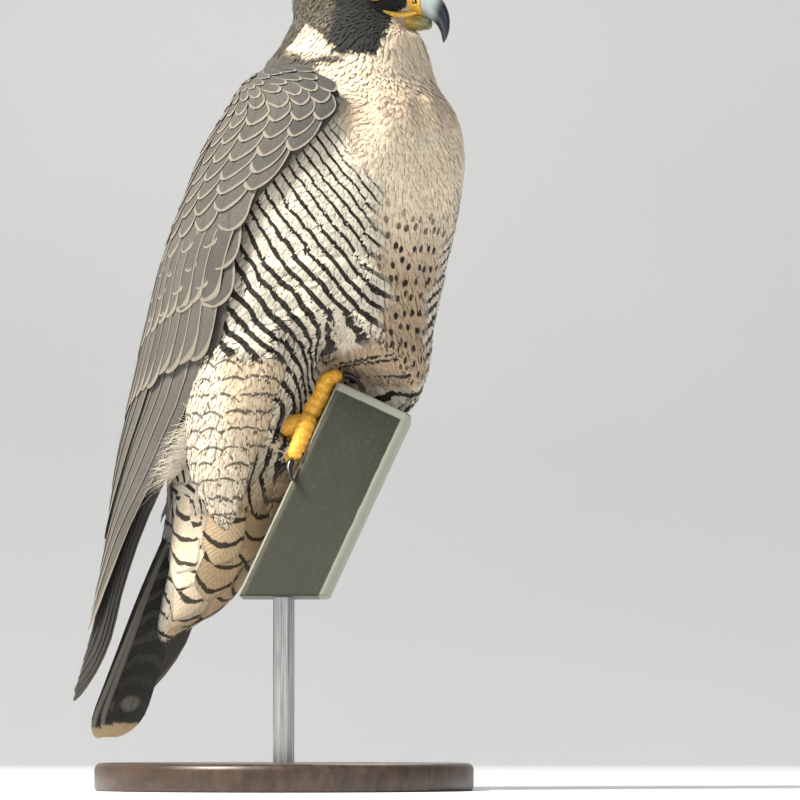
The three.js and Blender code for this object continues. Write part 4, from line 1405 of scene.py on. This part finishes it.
def flight_row(row):
    count = row["count"]
    k = np.linspace(0, 1, count)

    def along(key, bow=1):
        start, end = row[key]
        return start + (end - start) * k**bow

    return {
        "root_z": along("root_z"),
        "root_back": along("root_back"),
        "tip_z": along("tip_z", row.get("bow", 1)) + 4 * (rng.random(count) - 0.5),
        "tip_back": along("tip_back") + 1.2 * (rng.random(count) - 0.5),
        "half": row["half"] * (0.93 + 0.14 * rng.random(count)),
        "lift": row["lift"],
        "root_lift": -2.6,
        "rise": 2.4,
        "tilt": row["tilt"],
        "camber": 0.3,
        "thick": 0.5,
        "round_from": 0.90,
        "square": 1,
    }


COVERT_SIZES = [(232, 16.4), (300, 14.8), (330, 12.4), (358, 8.0)]
COVERT_PITCH = 0.60
# How far back the coverts' roots lie for each millimetre up, so that they hang straight
COVERT_HANG = [(225, 0.0), (262, 0.25), (290, 0.55), (325, 0.55), (345, 0.2)]
COVERT_TOP = 363


def small_coverts():
    """Scallops over the arm, row above row, each row set between the next."""
    values = {key: [] for key in ("root_z", "root_back", "tip_z", "tip_back", "half")}
    level, row = 240.0, 0
    while level < 357:
        size = table_at(COVERT_SIZES, level)
        arc_end = 104 if level < 320 else 96
        for k in range(int(arc_end / size) + 1):
            back = size * (k + 0.32 + 0.5 * (row % 2)) + rng.normal(0, 0.5)
            tip = level - 0.03 * back + rng.normal(0, 0.8)
            top = min(tip + size * (1.9 + 0.2 * rng.random()), COVERT_TOP)
            values["root_z"].append(top)
            values["root_back"].append(back + table_at(COVERT_HANG, tip) * (top - tip))
            values["tip_z"].append(tip)
            values["tip_back"].append(back)
            values["half"].append(size * (0.58 + 0.04 * rng.random()))
        level += size * COVERT_PITCH
        row += 1
    arrays = {key: np.array(found) for key, found in values.items()}
    arrays.update({"lift": 1.1, "root_lift": -1.8, "rise": 1.0, "tilt": 0.05, "camber": 0.45, "thick": 0.5,
                   "round_from": 0.62, "square": 0})
    return arrays


def wing_tint(root_z, root_back):
    blue = smoothstep(root_z, 318, 346) * smoothstep(root_back, 46, 14)
    shade = 0.86 + 0.28 * rng.random(len(root_z))
    return blend(WING_GREY, WING_BLUE, 0.9 * blue) * shade[:, None]


def wing_row(name, side, feathers, shares, fringe, patch, material):
    """One row of the wing's long feathers, or all of its small coverts."""
    top, under = wing_vanes(side, feathers, shares, VANE_COLUMNS)
    tint = wing_tint(feathers["root_z"], feathers["root_back"])
    if name.startswith("primaries"):
        tint = np.tile(PRIMARY_BLACK, (len(tint), 1))
    marks = np.tile([0, 0.2, 0, fringe], (len(tint), 1))
    looks = vane_looks(tint, marks, shares, VANE_COLUMNS)
    finish_piece(vane_piece(name, top, under, looks, patch), "wing_feathers", material)


def make_wing(label, side, plumes):
    """A folded wing: a core, its long feathers, and rows of small coverts."""
    finish_piece(wing_core(label, side), "wing_feathers", plumes["wing"], "wing_" + label)
    for name, row in FLIGHT_ROWS.items():
        patch = strip_patch(row["count"], VANE_SHARES, VANE_COLUMNS)
        material = plumes["primary" if name == "primaries" else "wing"]
        wing_row(name + "_" + label, side, flight_row(row), VANE_SHARES, row["fringe"], patch, material)
    coverts = small_coverts()
    patch = wing_patch(coverts["root_z"], coverts["root_back"], COVERT_SHARES, VANE_COLUMNS)
    wing_row("small_coverts_" + label, side, coverts, COVERT_SHARES, 1.0, patch, plumes["wing"])
    finish_piece(make_wing_down(label, side), "body_feathers", plumes["barred"])


def wing_core(label, side):
    """The arm under the coverts, a closed sheet over the side of the body."""
    columns, rows = 26, 40
    low, high = 205, 361
    height = np.linspace(low, high, rows)[:, None]
    front = wing_front(height[:, 0], side)[:, None]
    across = np.linspace(0, 1, columns)[None, :]
    turns = front + (np.radians(WING_BACK) - front) * across
    upright = 5 * np.minimum(height - low, high - height) / (high - low) + 0.1
    rim = np.minimum(1, 6 * np.minimum(across, 1 - across)) * np.minimum(1, upright)
    outer = mantle_point(height + 0 * turns, turns, np.full(turns.shape, -1.8), side)
    inner = mantle_point(height + 0 * turns, turns, -1.8 - 4 * rim, side)
    grid = (1, rows, columns)
    share = np.broadcast_to(np.linspace(0, 1, rows)[None, :, None], grid)
    looks = {
        "Tint": np.broadcast_to(np.append(WING_GREY * 0.7, 1), (*grid, 4)),
        "Marks": np.zeros((*grid, 4)),
        "Lie": np.zeros((*grid, 3)),
        "Barb": np.stack([share, share * 0 + 0.5, share * 0 + 0.5], axis=-1),
    }
    patch = np.stack(np.broadcast_arrays(0.02 + 0.96 * across[None], 0.02 + 0.96 * share), axis=-1)
    return vane_piece("wing_core_" + label, outer[None], inner[None], looks, patch)


# Loose down that streams back from the flank over the wing
WING_DOWN = {"strands": 420, "low": 160, "high": 188, "half": 0.14}


def make_wing_down(label, side):
    count = WING_DOWN["strands"]
    share = np.linspace(0, 1, 9)[None, :]
    q = np.linspace(-1, 1, 3)
    start = WING_DOWN["low"] + (WING_DOWN["high"] - WING_DOWN["low"]) * rng.random((count, 1))
    long = 5 + 12 * rng.random((count, 1)) ** 1.5
    fall = rng.normal(3, 6, (count, 1))
    height = start - fall * share - 5 * share**2 * rng.random((count, 1))
    back = -8 + 5 * rng.random((count, 1)) + long * share
    out = (0.8 + 2.4 * rng.random((count, 1))) * np.sin(np.pi * (0.15 + 0.7 * share))
    half = WING_DOWN["half"] * (1 - 0.85 * share**2)
    height, back, out, half = (values[..., None] for values in (height, back, out, half))
    top = wing_point(height + half * q, back, out + 0 * q, side)
    under = wing_point(height + half * q, back, out - 0.15 * (1 - q**2), side)
    tint = np.tile(WHITE * 1.1, (count, 1))
    looks = vane_looks(tint, np.zeros((count, 4)), share[0], 3)
    places = np.stack([0.1 + 0.8 * rng.random(count), (start[:, 0] - 100) / 120], axis=-1)
    patch = tuft_patch(places, share[..., None], q[None, None, :])
    return vane_piece("wing_down_" + label, top, under, looks, patch)


# Tail
# Its feathers from the lowest up, as its underside shows them: the middle at the tip, half width, how much
# shorter than the longest, and then how much of a pale edge and of a pale oval each has
RECTRICES = [
    (7.5, 13.4, 5.0, 0.0, 1.0),
    (-2.0, 12.0, 3.5, 0.9, 0.5),
    (-8.5, 11.4, 1.5, 1.0, 0.3),
    (8.0, 12.5, 3.0, 0.3, 0.4),
    (-7.0, 12.0, 2.4, 0.3, 0.3),
    (7.0, 12.5, 2.0, 0.2, 0.3),
    (-6.0, 12.5, 1.6, 0.2, 0.2),
    (6.0, 12.5, 1.2, 0.2, 0.2),
    (-5.0, 12.5, 0.8, 0.2, 0.2),
    (5.0, 12.5, 0.6, 0.2, 0.2),
    (-3.0, 13.0, 0.3, 0.2, 0.2),
    (2.5, 13.0, 0.0, 0.2, 0.2),
]
TAIL_LEVELS = [-2.5, 3.0]
TAIL_BANDS = 11


def make_tail(material):
    q = np.linspace(-1, 1, VANE_COLUMNS)[None, :]
    share = VANE_SHARES[:, None]
    tops, unders, tints, marks = [], [], [], []
    levels = np.linspace(*TAIL_LEVELS, len(RECTRICES))
    for (middle, half, shorter, edge, oval), level in zip(RECTRICES, levels):
        length = TAIL["length"] - shorter
        left = middle * (0.2 + 0.8 * share**2) + q * half * vane_width(share, 0.5, 0.88)
        down = 6 + (length - 6) * share + 0 * q
        rise = level - 0.3 * q**2 * np.sign(level) + 0 * share
        tops.append(tail_point(down, left, rise + 0.25 * (1 - q**2)))
        unders.append(tail_point(down, left, rise - 0.2 * (1 - q**2)))
        tints.append(TAIL_DARK * (0.85 + 0.3 * rng.random()))
        marks.append([edge, oval, 1.0, 0.0])
    phase = share[None] * TAIL_BANDS
    looks = vane_looks(np.array(tints), np.array(marks), VANE_SHARES, VANE_COLUMNS, phase)
    patch = strip_patch(len(tops), VANE_SHARES, VANE_COLUMNS)
    tail = vane_piece("tail_feathers", np.array(tops), np.array(unders), looks, patch)
    finish_piece(tail, "tail_feathers", material, "tail")


# Long loose coverts under the tail: heights of the rows' tips, how many in each and their half widths
UNDERTAIL_ROWS = [(80, 2, 8.0), (90, 3, 9.5), (102, 4, 10.5), (115, 5, 10.5)]
UNDERTAIL_TURNS = [-25, 205]
UNDERTAIL_LONG = 54
UNDERTAIL_ROOTS = 150
UNDERTAIL_BAR = 11.0


def undertail_frame(height, turn):
    """The line of a covert on the body, with the directions to its side and out of the body."""
    spine = level_point(TORSO, height, turn, -1.5)
    beside = level_point(TORSO, height, turn + 0.05, -1.5) - level_point(TORSO, height, turn - 0.05, -1.5)
    ahead = unit(np.gradient(spine, axis=0))
    outs = unit(np.cross(ahead, flow_out(unit(beside), ahead)))
    middle = read_table(TORSO, height)[:, :2].mean(axis=1)
    from_middle = spine - np.stack([middle, 0 * middle, height], axis=-1)
    outs = outs * np.sign(np.sum(outs * from_middle, axis=-1, keepdims=True))
    return spine[:, None], np.cross(outs, ahead)[:, None], outs[:, None]


def make_undertail(material):
    q = np.linspace(-1, 1, VANE_COLUMNS)[None, :]
    share = VANE_SHARES[:, None]
    first, last = UNDERTAIL_TURNS
    tops, unders, tints, phases = [], [], [], []
    for row, (tip_z, count, half) in enumerate(UNDERTAIL_ROWS):
        for k in range(count):
            turn = np.radians(first + (last - first) * (k + 0.5) / count + rng.normal(0, 4))
            tip = tip_z + rng.normal(0, 2)
            long = min(UNDERTAIL_LONG, UNDERTAIL_ROOTS - tip)
            spine, side, outs = undertail_frame(tip + long * (1 - VANE_SHARES), turn)
            reach = q * half * vane_width(share, 0.6, 0.72)
            rise = -1.2 + (1.7 + 0.25 * row) * share + 0.5 * (1 - q**2) - 1.4 * q**2
            top = spine + side * reach[..., None] + outs * rise[..., None]
            tops.append(top)
            unders.append(top - outs * (0.45 * (1 - q**2))[..., None])
            # Coverts round the front turn tan with painted shade; those at the sides stay cream
            tints.append(blend(CREAM, VENT_TAN_AND_SHADE, np.clip(1.2 * np.sin(turn), 0, 1)))
            phases.append(share * long / UNDERTAIL_BAR + 0.35 * q**2 + rng.random())
    count = len(tops)
    marks = np.tile([0.95, 0.20, 0, 0.5], (count, 1))
    looks = vane_looks(np.array(tints), marks, VANE_SHARES, VANE_COLUMNS, np.array(phases))
    places = np.stack([0.05 + 0.9 * np.arange(count) / count, np.full(count, 0.5)], axis=-1)
    patch = tuft_patch(places, share[None], q[None])
    coverts = vane_piece("undertail_coverts", np.array(tops), np.array(unders), looks, patch)
    finish_piece(coverts, "body_feathers", material)


# Feet
PAD = [6, 0, 22]
TOES = [
    {"line": [PAD, [5, 1, 10], [4.6, 1, 0], [-0.5, 1, -4.8]],
     "claw": [[-4.5, 1, -5.6], [-9, 1, -4.6], [-12, 1, -1]]},
    {"line": [PAD, [5, -8, 14], [4.4, -12, 5], [3.6, -14, -2]],
     "claw": [[1, -14.5, -5.4], [-4, -15, -5.2], [-8, -15, -1.2]]},
    {"line": [PAD, [5, 6, 27], [4.4, 9, 36], [4, 11.5, 45]],
     "claw": [[3.4, 14, 50], [0, 16.5, 54], [-5, 17, 56]]},
    {"line": [PAD, [5.5, -5, 33], [5.4, -7, 41], [6, -8, 47]],
     "claw": [[8, -8, 51.5], [9, -7.5, 56], [7, -7, 61]]},
]
TOE_THICK = [5, 4.5, 4.2, 3.4]
CLAW_THICK = [2.6, 1.9, 1.2, 0.3]
SHANK = {"ankle": [0, 26, 178], "knee": [-18, 32, 192], "thick": 4.6}


def grip_point(place, side):
    """A point beside the steel where a foot grips it: off its near side, outwards, and down from its top."""
    off, towards, down = place
    return steel_point(-STEEL["width"] / 2 - off, -side * (FEET_APART / 2 + towards), down)


def toe_place(points, thick):
    """A toe with the pads under it and the plates over it as gentle swellings."""
    plain = limb_place(points, np.array(thick), np.array(thick), VIEW_NEAR, 8)

    def place(turn, share):
        turn, share = np.broadcast_arrays(turn, share)
        middle, _ = curve_through(points, share)
        swell = 1 + 0.05 * np.sin(share * 2 * np.pi * 7)
        return middle + (plain(turn, share) - middle) * swell[..., None]

    return place


def make_foot(label, side, material, claw_material):
    def gripping(places):
        return np.array([grip_point(place, side) for place in places])

    parts = [ball_mesh("toe", toe_place(gripping(toe["line"]), TOE_THICK), 20, 60) for toe in TOES]
    joints = np.array([SHANK["ankle"], SHANK["knee"]]) * np.array([1, side, 1])
    shank = np.vstack([gripping([PAD]), joints])
    thick = np.full(3, SHANK["thick"])
    parts.append(ball_mesh("shank", limb_place(shank, thick, thick, VIEW_NEAR, 6), 20, 30))
    foot = join("foot_skin_" + label, parts)
    fuse(foot, FOOT_VOXEL)
    finish_piece(foot, "foot", material, "foot_" + label)
    thick = np.array(CLAW_THICK)
    for index, toe in enumerate(TOES, 1):
        place = limb_place(gripping([toe["line"][-1], *toe["claw"]]), thick, thick * 0.85, VIEW_NEAR, 6)
        claw = ball_mesh("talon_%s_%d" % (label, index), place, 20, 30)
        set_plain_tint(claw, CLAW_BLACK, CLAW_BLACK, np.zeros(len(claw.data.vertices)))
        finish_piece(claw, "claw", claw_material, "claw_%s_%d" % (label, index))


# Head
BILL_BASE = np.array([0.34, 0.40, 0.40])
BILL_TIP = np.array([0.012, 0.016, 0.028])
MANDIBLE_BASE = np.array([0.66, 0.47, 0.10])
MANDIBLE_TIP = np.array([0.16, 0.16, 0.07])
CLAW_BLACK = np.array([0.016, 0.014, 0.014])
NOSTRIL = {"x": 36.2, "y": 7.3, "z": -6.0, "radius": 1.7}
# The bare ring round the eye: how far ahead of its centre and out from it, and how far it faces forward
EYE_RIM = {"ahead": 1.2, "out": 4.0, "lean": 18, "radius": 6.8, "thick": 1.5}
GAPE = [[37.5, 6.9, -11.6], [32, 9.2, -12.4], [27, 13.2, -12.6], [22.5, 17.0, -11.0]]
GAPE_THICK = [0.7, 1.3, 1.4, 0.5]


def set_plain_tint(piece, near, far, share):
    """A piece's own colour from one end to the other."""
    set_looks(piece.data, {"Tint": opaque(blend(near, far, share))})


def ring_points(centre, first, second, outward, radius, thick, around=48, tube=14):
    """A ring about a centre, its tube's points turn by turn."""
    turn = np.linspace(0, 2 * np.pi, around, endpoint=False)[:, None, None]
    across = np.linspace(0, 2 * np.pi, tube, endpoint=False)[None, :, None]
    radial = first * np.cos(turn) + second * np.sin(turn)
    return centre + radial * (radius + thick * np.cos(across)) + outward * thick * np.sin(across)


def make_ring(name, points):
    around, tube = points.shape[:2]
    faces = grid_faces(around, tube, closed=True)
    last = (around - 1) * tube
    c = np.arange(tube)
    close = np.stack([last + c, last + (c + 1) % tube, (c + 1) % tube, c], axis=-1)
    return new_mesh(name, from_head(points.reshape(-1, 3)), np.vstack([faces, close]))


def ball_place(centre, radii, side):
    """Places a small ball in the skull's frame, its poles to the sides."""

    def place(turn, share):
        turn, share = np.broadcast_arrays(turn, share)
        polar = np.pi * share
        x = radii[0] * np.sin(polar) * np.cos(turn)
        z = radii[2] * np.sin(polar) * np.sin(turn)
        y = side * radii[1] * np.cos(polar)
        return from_head(np.stack([x, y, z], axis=-1) + centre)

    return place


def bill_place(table):
    rows = np.array(table, float)
    points = np.column_stack([rows[:, 0], np.zeros(len(rows)), rows[:, 1]])
    return in_skull(limb_place(points, rows[:, 3], rows[:, 2], [0, 1, 0], 12))


def cut_piece(name, whole, keep):
    """A closed part of a mesh: the vertices to keep."""
    piece = add_object(name, whole.data.copy())

    def cut(body):
        bmesh.ops.delete(body, geom=[v for v in body.verts if not keep[v.index]], context="VERTS")
        bmesh.ops.holes_fill(body, edges=body.edges)

    edit_mesh(piece.data, cut)
    return piece


def make_bill(cere_material, bill_material):
    """The bill in its three parts: waxy cere, hooked upper and short lower half."""
    upper = ball_mesh("bill_form", bill_place(UPPER_BILL), 48, 120)
    ahead = to_head(mesh_points(upper))[:, 0]
    cere = cut_piece("cere_skin", upper, ahead <= CERE_FRONT + 0.6)
    finish_piece(cere, "cere", cere_material, "cere")
    horn = cut_piece("bill_horn", upper, ahead >= CERE_FRONT - 0.6)
    local = to_head(mesh_points(horn))
    set_plain_tint(horn, BILL_BASE, BILL_TIP, smoothstep(local[:, 0] - 0.35 * (local[:, 2] + 10), 43.0, 49.5))
    finish_piece(horn, "bill", bill_material, "bill_upper")
    bpy.data.objects.remove(upper)
    lower = ball_mesh("bill_lower_horn", bill_place(LOWER_BILL), 40, 60)
    set_plain_tint(lower, MANDIBLE_BASE, MANDIBLE_TIP, smoothstep(to_head(mesh_points(lower))[:, 0], 31, 41))
    finish_piece(lower, "mandible", bill_material, "bill_lower")


def face_ring(name, centre, lean, side, *sizes):
    """A ring on one side of the face, turned some degrees forward."""
    lean = np.radians(lean)
    outward = np.array([np.sin(lean), side * np.cos(lean), 0])
    ahead = np.array([np.cos(lean), -side * np.sin(lean), 0])
    return make_ring(name, ring_points(centre, ahead, np.array([0, 0, 1.0]), outward, *sizes))


def make_face(label, side, material, dark_material):
    """On one side of the face: the eye's ring, the nostril's rim and knob, and the yellow gape."""
    eye = np.array([EYE["x"] + EYE_RIM["ahead"], side * (EYE["y"] + EYE_RIM["out"]), EYE["z"]])
    nostril = np.array([NOSTRIL["x"], side * NOSTRIL["y"], NOSTRIL["z"]])
    parts = [
        face_ring("eye_rim", eye, EYE_RIM["lean"], side, EYE_RIM["radius"], EYE_RIM["thick"], 64, 16),
        face_ring("nostril_rim", nostril, 24, side, NOSTRIL["radius"], 0.55),
        ball_mesh("nostril_knob", ball_place(nostril, [0.5, 0.9, 0.5], side), 12, 8),
        ball_mesh("gape", gape_place(side), 16, 40),
    ]
    finish_piece(join("face_skin_" + label, parts), "cere", material)
    pit = ball_mesh("nostril_pit_" + label, ball_place(nostril, [1.5, 0.45, 1.5], side), 20, 12)
    finish_piece(pit, "cere", dark_material)


def gape_place(side):
    return in_skull(limb_place(np.array(GAPE) * [1, side, 1], GAPE_THICK, GAPE_THICK, [0, 1, 0], 8))


def make_eye(label, side, material):
    centre = np.array([EYE["x"], side * EYE["y"], EYE["z"]])
    eye = ball_mesh("eyeball_" + label, ball_place(centre, [EYE["radius"]] * 3, side), 48, 40)
    finish_piece(eye, "eye", material, "eye_" + label)


# Stand
def make_steel(material):
    """The cut length of box section: rounded corners, chamfered ends, bevelled edges."""
    piece = add_object("steel_section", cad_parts["perch"].data.copy())

    def clean(body):
        bmesh.ops.remove_doubles(body, verts=body.verts, dist=1e-5)
        bmesh.ops.dissolve_limit(body, angle_limit=np.radians(1), verts=body.verts, edges=body.edges)

    edit_mesh(piece.data, clean)
    bevel = piece.modifiers.new("bevel", "BEVEL")
    bevel.width = 1.2 * METRE
    bevel.segments = 3
    bevel.limit_method = "ANGLE"
    bevel.angle_limit = np.radians(30)
    apply_modifiers(piece)
    finish_piece(piece, "steel", material, "perch")


def make_base(material):
    """A turned base with a rounded rim and a fine groove."""
    r, t = BASE["radius"], BASE["thick"]
    profile = np.array([
        (0, 0), (r - 1.5, 0), (r - 0.4, 0.5), (r, 1.8), (r, t - 3.4), (r - 0.5, t - 1.6), (r - 1.8, t - 0.4),
        (r - 3.6, t), (r - 7, t), (r - 7.6, t - 0.7), (r - 8.6, t - 0.7), (r - 9.2, t), (0, t),
    ])
    steps = len(profile) - 1

    def place(turn, share):
        radius, z = np.moveaxis(profile[np.rint(share * steps).astype(int)], -1, 0)
        return np.stack(np.broadcast_arrays(radius * np.cos(turn), radius * np.sin(turn), z), axis=-1)

    piece = ball_mesh("base_disc", place, 128, steps)
    piece.data.set_sharp_from_angle(angle=np.radians(35))
    finish_piece(piece, "stand_base", material, "stand_base")


# The backdrop: how far the floor runs towards the camera, where it bends up behind the bird, and its size
BACKDROP = {"near": 4000, "bend": -2250, "radius": 900, "height": 5000, "half_width": 6000}


def make_stage():
    """A pale floor that curves up into a backdrop behind the bird, seen from the camera."""
    bend, radius, half_width = BACKDROP["bend"], BACKDROP["radius"], BACKDROP["half_width"]
    profile = [(BACKDROP["near"], 0)]
    for a in np.linspace(0, np.pi / 2, 16):
        profile.append((bend - radius * np.sin(a), radius * (1 - np.cos(a))))
    profile.append((bend - radius, BACKDROP["height"]))
    points = [
        VIEW_NEAR * depth + VIEW_RIGHT * across + np.array([0, 0, height])
        for depth, height in profile
        for across in (-half_width, half_width)
    ]
    piece = new_mesh("floor", np.array(points), grid_faces(len(profile), 2))
    graph = Graph("floor_paint", 0.85)
    tone = graph.smooth(graph.noise(1.2, 2.0), 0.3, 0.7)
    graph.colour(graph.mix(tone, (0.80, 0.81, 0.82, 1), (0.84, 0.85, 0.86, 1)))
    piece.data.materials.append(graph.material)


def towards(azimuth, elevation):
    """The direction from the bird to a place round it, from degrees."""
    a, e = np.radians(azimuth), np.radians(elevation)
    return Vector((np.sin(a) * np.cos(e), -np.cos(a) * np.cos(e), np.sin(e)))


def make_camera():
    right = Vector(VIEW_RIGHT)
    back = towards(CAMERA["azimuth"], CAMERA["elevation"])
    aim = right * CAMERA["right"] + Vector((0, 0, CAMERA["up"]))
    place = Matrix((right, back.cross(right), back)).transposed().to_4x4()
    place.translation = (aim + back * CAMERA["distance"]) * METRE
    data = bpy.data.cameras.new("camera")
    data.lens = CAMERA["lens"]
    data.sensor_width = 36
    data.clip_start = 0.05
    camera = add_object("camera", data)
    camera.matrix_world = place
    bpy.context.scene.camera = camera


# Lights: degrees round the bird and up, distance and size in metres, watts and tint
LIGHTS = {
    "key": (-12, 44, 2.0, 0.7, 92, (1.0, 0.94, 0.85)),
    "fill": (80, 15, 2.4, 1.6, 5, (0.90, 0.95, 1.0)),
    "rim": (215, 45, 2.2, 1.2, 18, (1.0, 0.98, 0.95)),
}
LIGHTS_AIM = Vector((0, 0, 0.24))


def add_light(name, azimuth, elevation, distance, size, watts, tint):
    """A soft panel of light that looks at the bird."""
    back = towards(azimuth, elevation)
    data = bpy.data.lights.new(name, "AREA")
    data.shape = "DISK"
    data.size = size
    data.energy = watts
    data.color = tint
    light = add_object(name, data)
    light.location = back * distance + LIGHTS_AIM
    light.rotation_euler = back.to_track_quat("Z", "Y").to_euler()


def make_light():
    for name, values in LIGHTS.items():
        add_light(name, *values)
    world = bpy.data.worlds.new("studio")
    world.use_nodes = True
    inputs = world.node_tree.nodes["Background"].inputs
    inputs[0].default_value = (0.88, 0.92, 0.98, 1)
    inputs[1].default_value = 0.32
    bpy.context.scene.world = world


# Regions of the coat
def on_head(points):
    local = to_head(points)
    return (local[..., 2] > -24) & (points[..., 2] > 372)


def near_eye(points):
    local = to_head(points)
    beside = np.hypot(local[..., 0] - EYE["x"] - EYE_RIM["ahead"], local[..., 2] - EYE["z"])
    return (beside < 8.0) & (np.abs(local[..., 1]) > 12)


def on_thigh(points):
    height = points[..., 2]
    off = np.abs(points[..., 0] - thigh_column(height, 0))
    return (height < 222) & (np.abs(points[..., 1]) > 28) & (off < thigh_column(height, 3) + 3)


def head_region(points):
    return on_head(points) & ~near_eye(points) & (to_head(points)[..., 0] < 33)


def mantle_region(points):
    behind = body_aside(points) > 94 - table_at(MANTLE_BORDER, points[..., 2])
    shoulders = (points[..., 2] > 346) & (points[..., 2] < 374) & behind
    between_wings = (points[..., 2] > 150) & (points[..., 2] <= 346) & (body_aside(points) > 138)
    return ~on_head(points) & (shoulders | between_wings)


def neck_region(points):
    return ~on_head(points) & (points[..., 2] > 346) & ~mantle_region(points)


def front_region(low, high, under_wing):
    """The front between two heights, and some degrees in under the wing's edge, without the thighs."""

    def region(points):
        height = points[..., 2]
        return (height <= high) & (height > low) & (wing_cover(points) < under_wing) & ~on_thigh(points)

    return region


def vent_region(points):
    return (points[..., 2] <= 156) & ~on_thigh(points) & (points[..., 0] > -96)


def half_of(region, side):
    return lambda points: region(points) & (points[..., 1] * side >= 0)


def mantle_plumage(points):
    tint, marks = plumage(points)
    marks[..., 0] = 0
    marks[..., 3] = 0.7
    return tint, marks


# What each tract's coat takes: its region, slot and material, then its lie, looks, bake map and bars' rhythm
NECK_LIE = steady_lie(-0.20, 0, -0.98)
THIGH_LIE = steady_lie(-0.16, 0, -1.0)
CHEST = front_region(262, 350, 14)
BELLY = front_region(150, 266, 16)
COATS = {
    "head": (head_region, "hood", "hood", head_lie, plumage, unwrap_head, body_phase),
    "neck": (neck_region, "neck_feathers", "barred", NECK_LIE, plumage, unwrap_body, body_phase),
    "mantle": (mantle_region, "neck_feathers", "wing", NECK_LIE, mantle_plumage, unwrap_body, body_phase),
    "chest": (CHEST, "body_feathers", "barred", body_lie, plumage, unwrap_body, body_phase),
    "belly": (BELLY, "body_feathers", "barred", body_lie, plumage, unwrap_body, body_phase),
    "thigh": (on_thigh, "thigh_feathers", "barred", THIGH_LIE, thigh_plumage, unwrap_thigh, thigh_phase),
    "vent": (vent_region, "body_feathers", "barred", body_lie, plumage, unwrap_body, vent_phase),
}


def make_coat(skin, plumes):
    """The coat's pieces: one for each tract, or one for each side of the large tracts."""
    surface = Surface(skin)
    halves = [(name, label) for label in SIDES for name in ("chest", "belly", "thigh")]
    for name, label in [("head", ""), ("neck", ""), ("mantle", ""), *halves, ("vent", "")]:
        region, slot, material, *growth = COATS[name]
        if label:
            region = half_of(region, SIDES[label])
        tract = dict(zip(TRACT_SIZES, TRACTS[name]))
        piece = grow_coat("_".join([name, "coat", label]).strip("_"), surface, region, tract, *growth)
        finish_piece(piece, slot, plumes[material])


def dress_skin(skin, material):
    """The skin carries the coat's markings."""
    points = mesh_points(skin)
    tint, marks = plumage(points)
    thighs = on_thigh(points)
    tint[thighs], marks[thighs] = thigh_plumage(points[thighs])
    around, along = body_lines(points)
    phase = np.where(points[:, 2] < 156, vent_phase(along, points), body_phase(along, points))
    lie = np.stack([around, along, phase], axis=-1)
    barb = np.tile([0.0, 0.5, 0.5], (len(points), 1))
    set_looks(skin.data, {"Tint": opaque(tint), "Marks": marks, "Lie": lie, "Barb": barb})
    finish_piece(skin, "body_feathers", material, "head", "neck", "torso", "thigh_left", "thigh_right")


def main():
    bpy.context.scene.view_settings.view_transform = "Standard"
    make_camera()
    make_stage()
    make_light()
    plumes = {
        "barred": feather_material("barred_feathers", BAR_BLACK, FRINGE),
        "hood": feather_material("hood_feathers", BAR_BLACK, HOOD_STREAK, streaks=0.75),
        "wing": feather_material("wing_feathers", WING_SHAFT, FRINGE, shaft=0.4),
        "primary": feather_material("primary_feathers", PRIMARY_SHAFT, FRINGE, 0.5, shaft=0.3),
    }
    skin = make_skin()
    dress_skin(skin, plumes["barred"])
    make_coat(skin, plumes)
    make_undertail(plumes["barred"])
    for label, side in SIDES.items():
        make_wing(label, side, plumes)
    make_tail(tail_material("tail_feathers"))
    foot = scaled_skin_material("foot_skin", *FOOT_YELLOWS, 0.45)
    horn = horn_material("bill_and_claw_horn", 0.32, 0.35)
    cere = scaled_skin_material("cere_wax", *CERE_YELLOWS, 0.42, 900.0, 0.2)
    eye = eye_material("eye_dark")
    make_bill(cere, horn)
    for label, side in SIDES.items():
        make_foot(label, side, foot, horn)
        make_face(label, side, cere, eye)
        make_eye(label, side, eye)
    make_steel(steel_material("galvanised_steel"))
    make_base(wood_material("dark_wood"))
    rods = rod_material("brushed_rod")
    for name in ("stand_rod_near", "stand_rod_far"):
        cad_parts[name].data.materials.clear()
        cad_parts[name].data.materials.append(rods)


main()
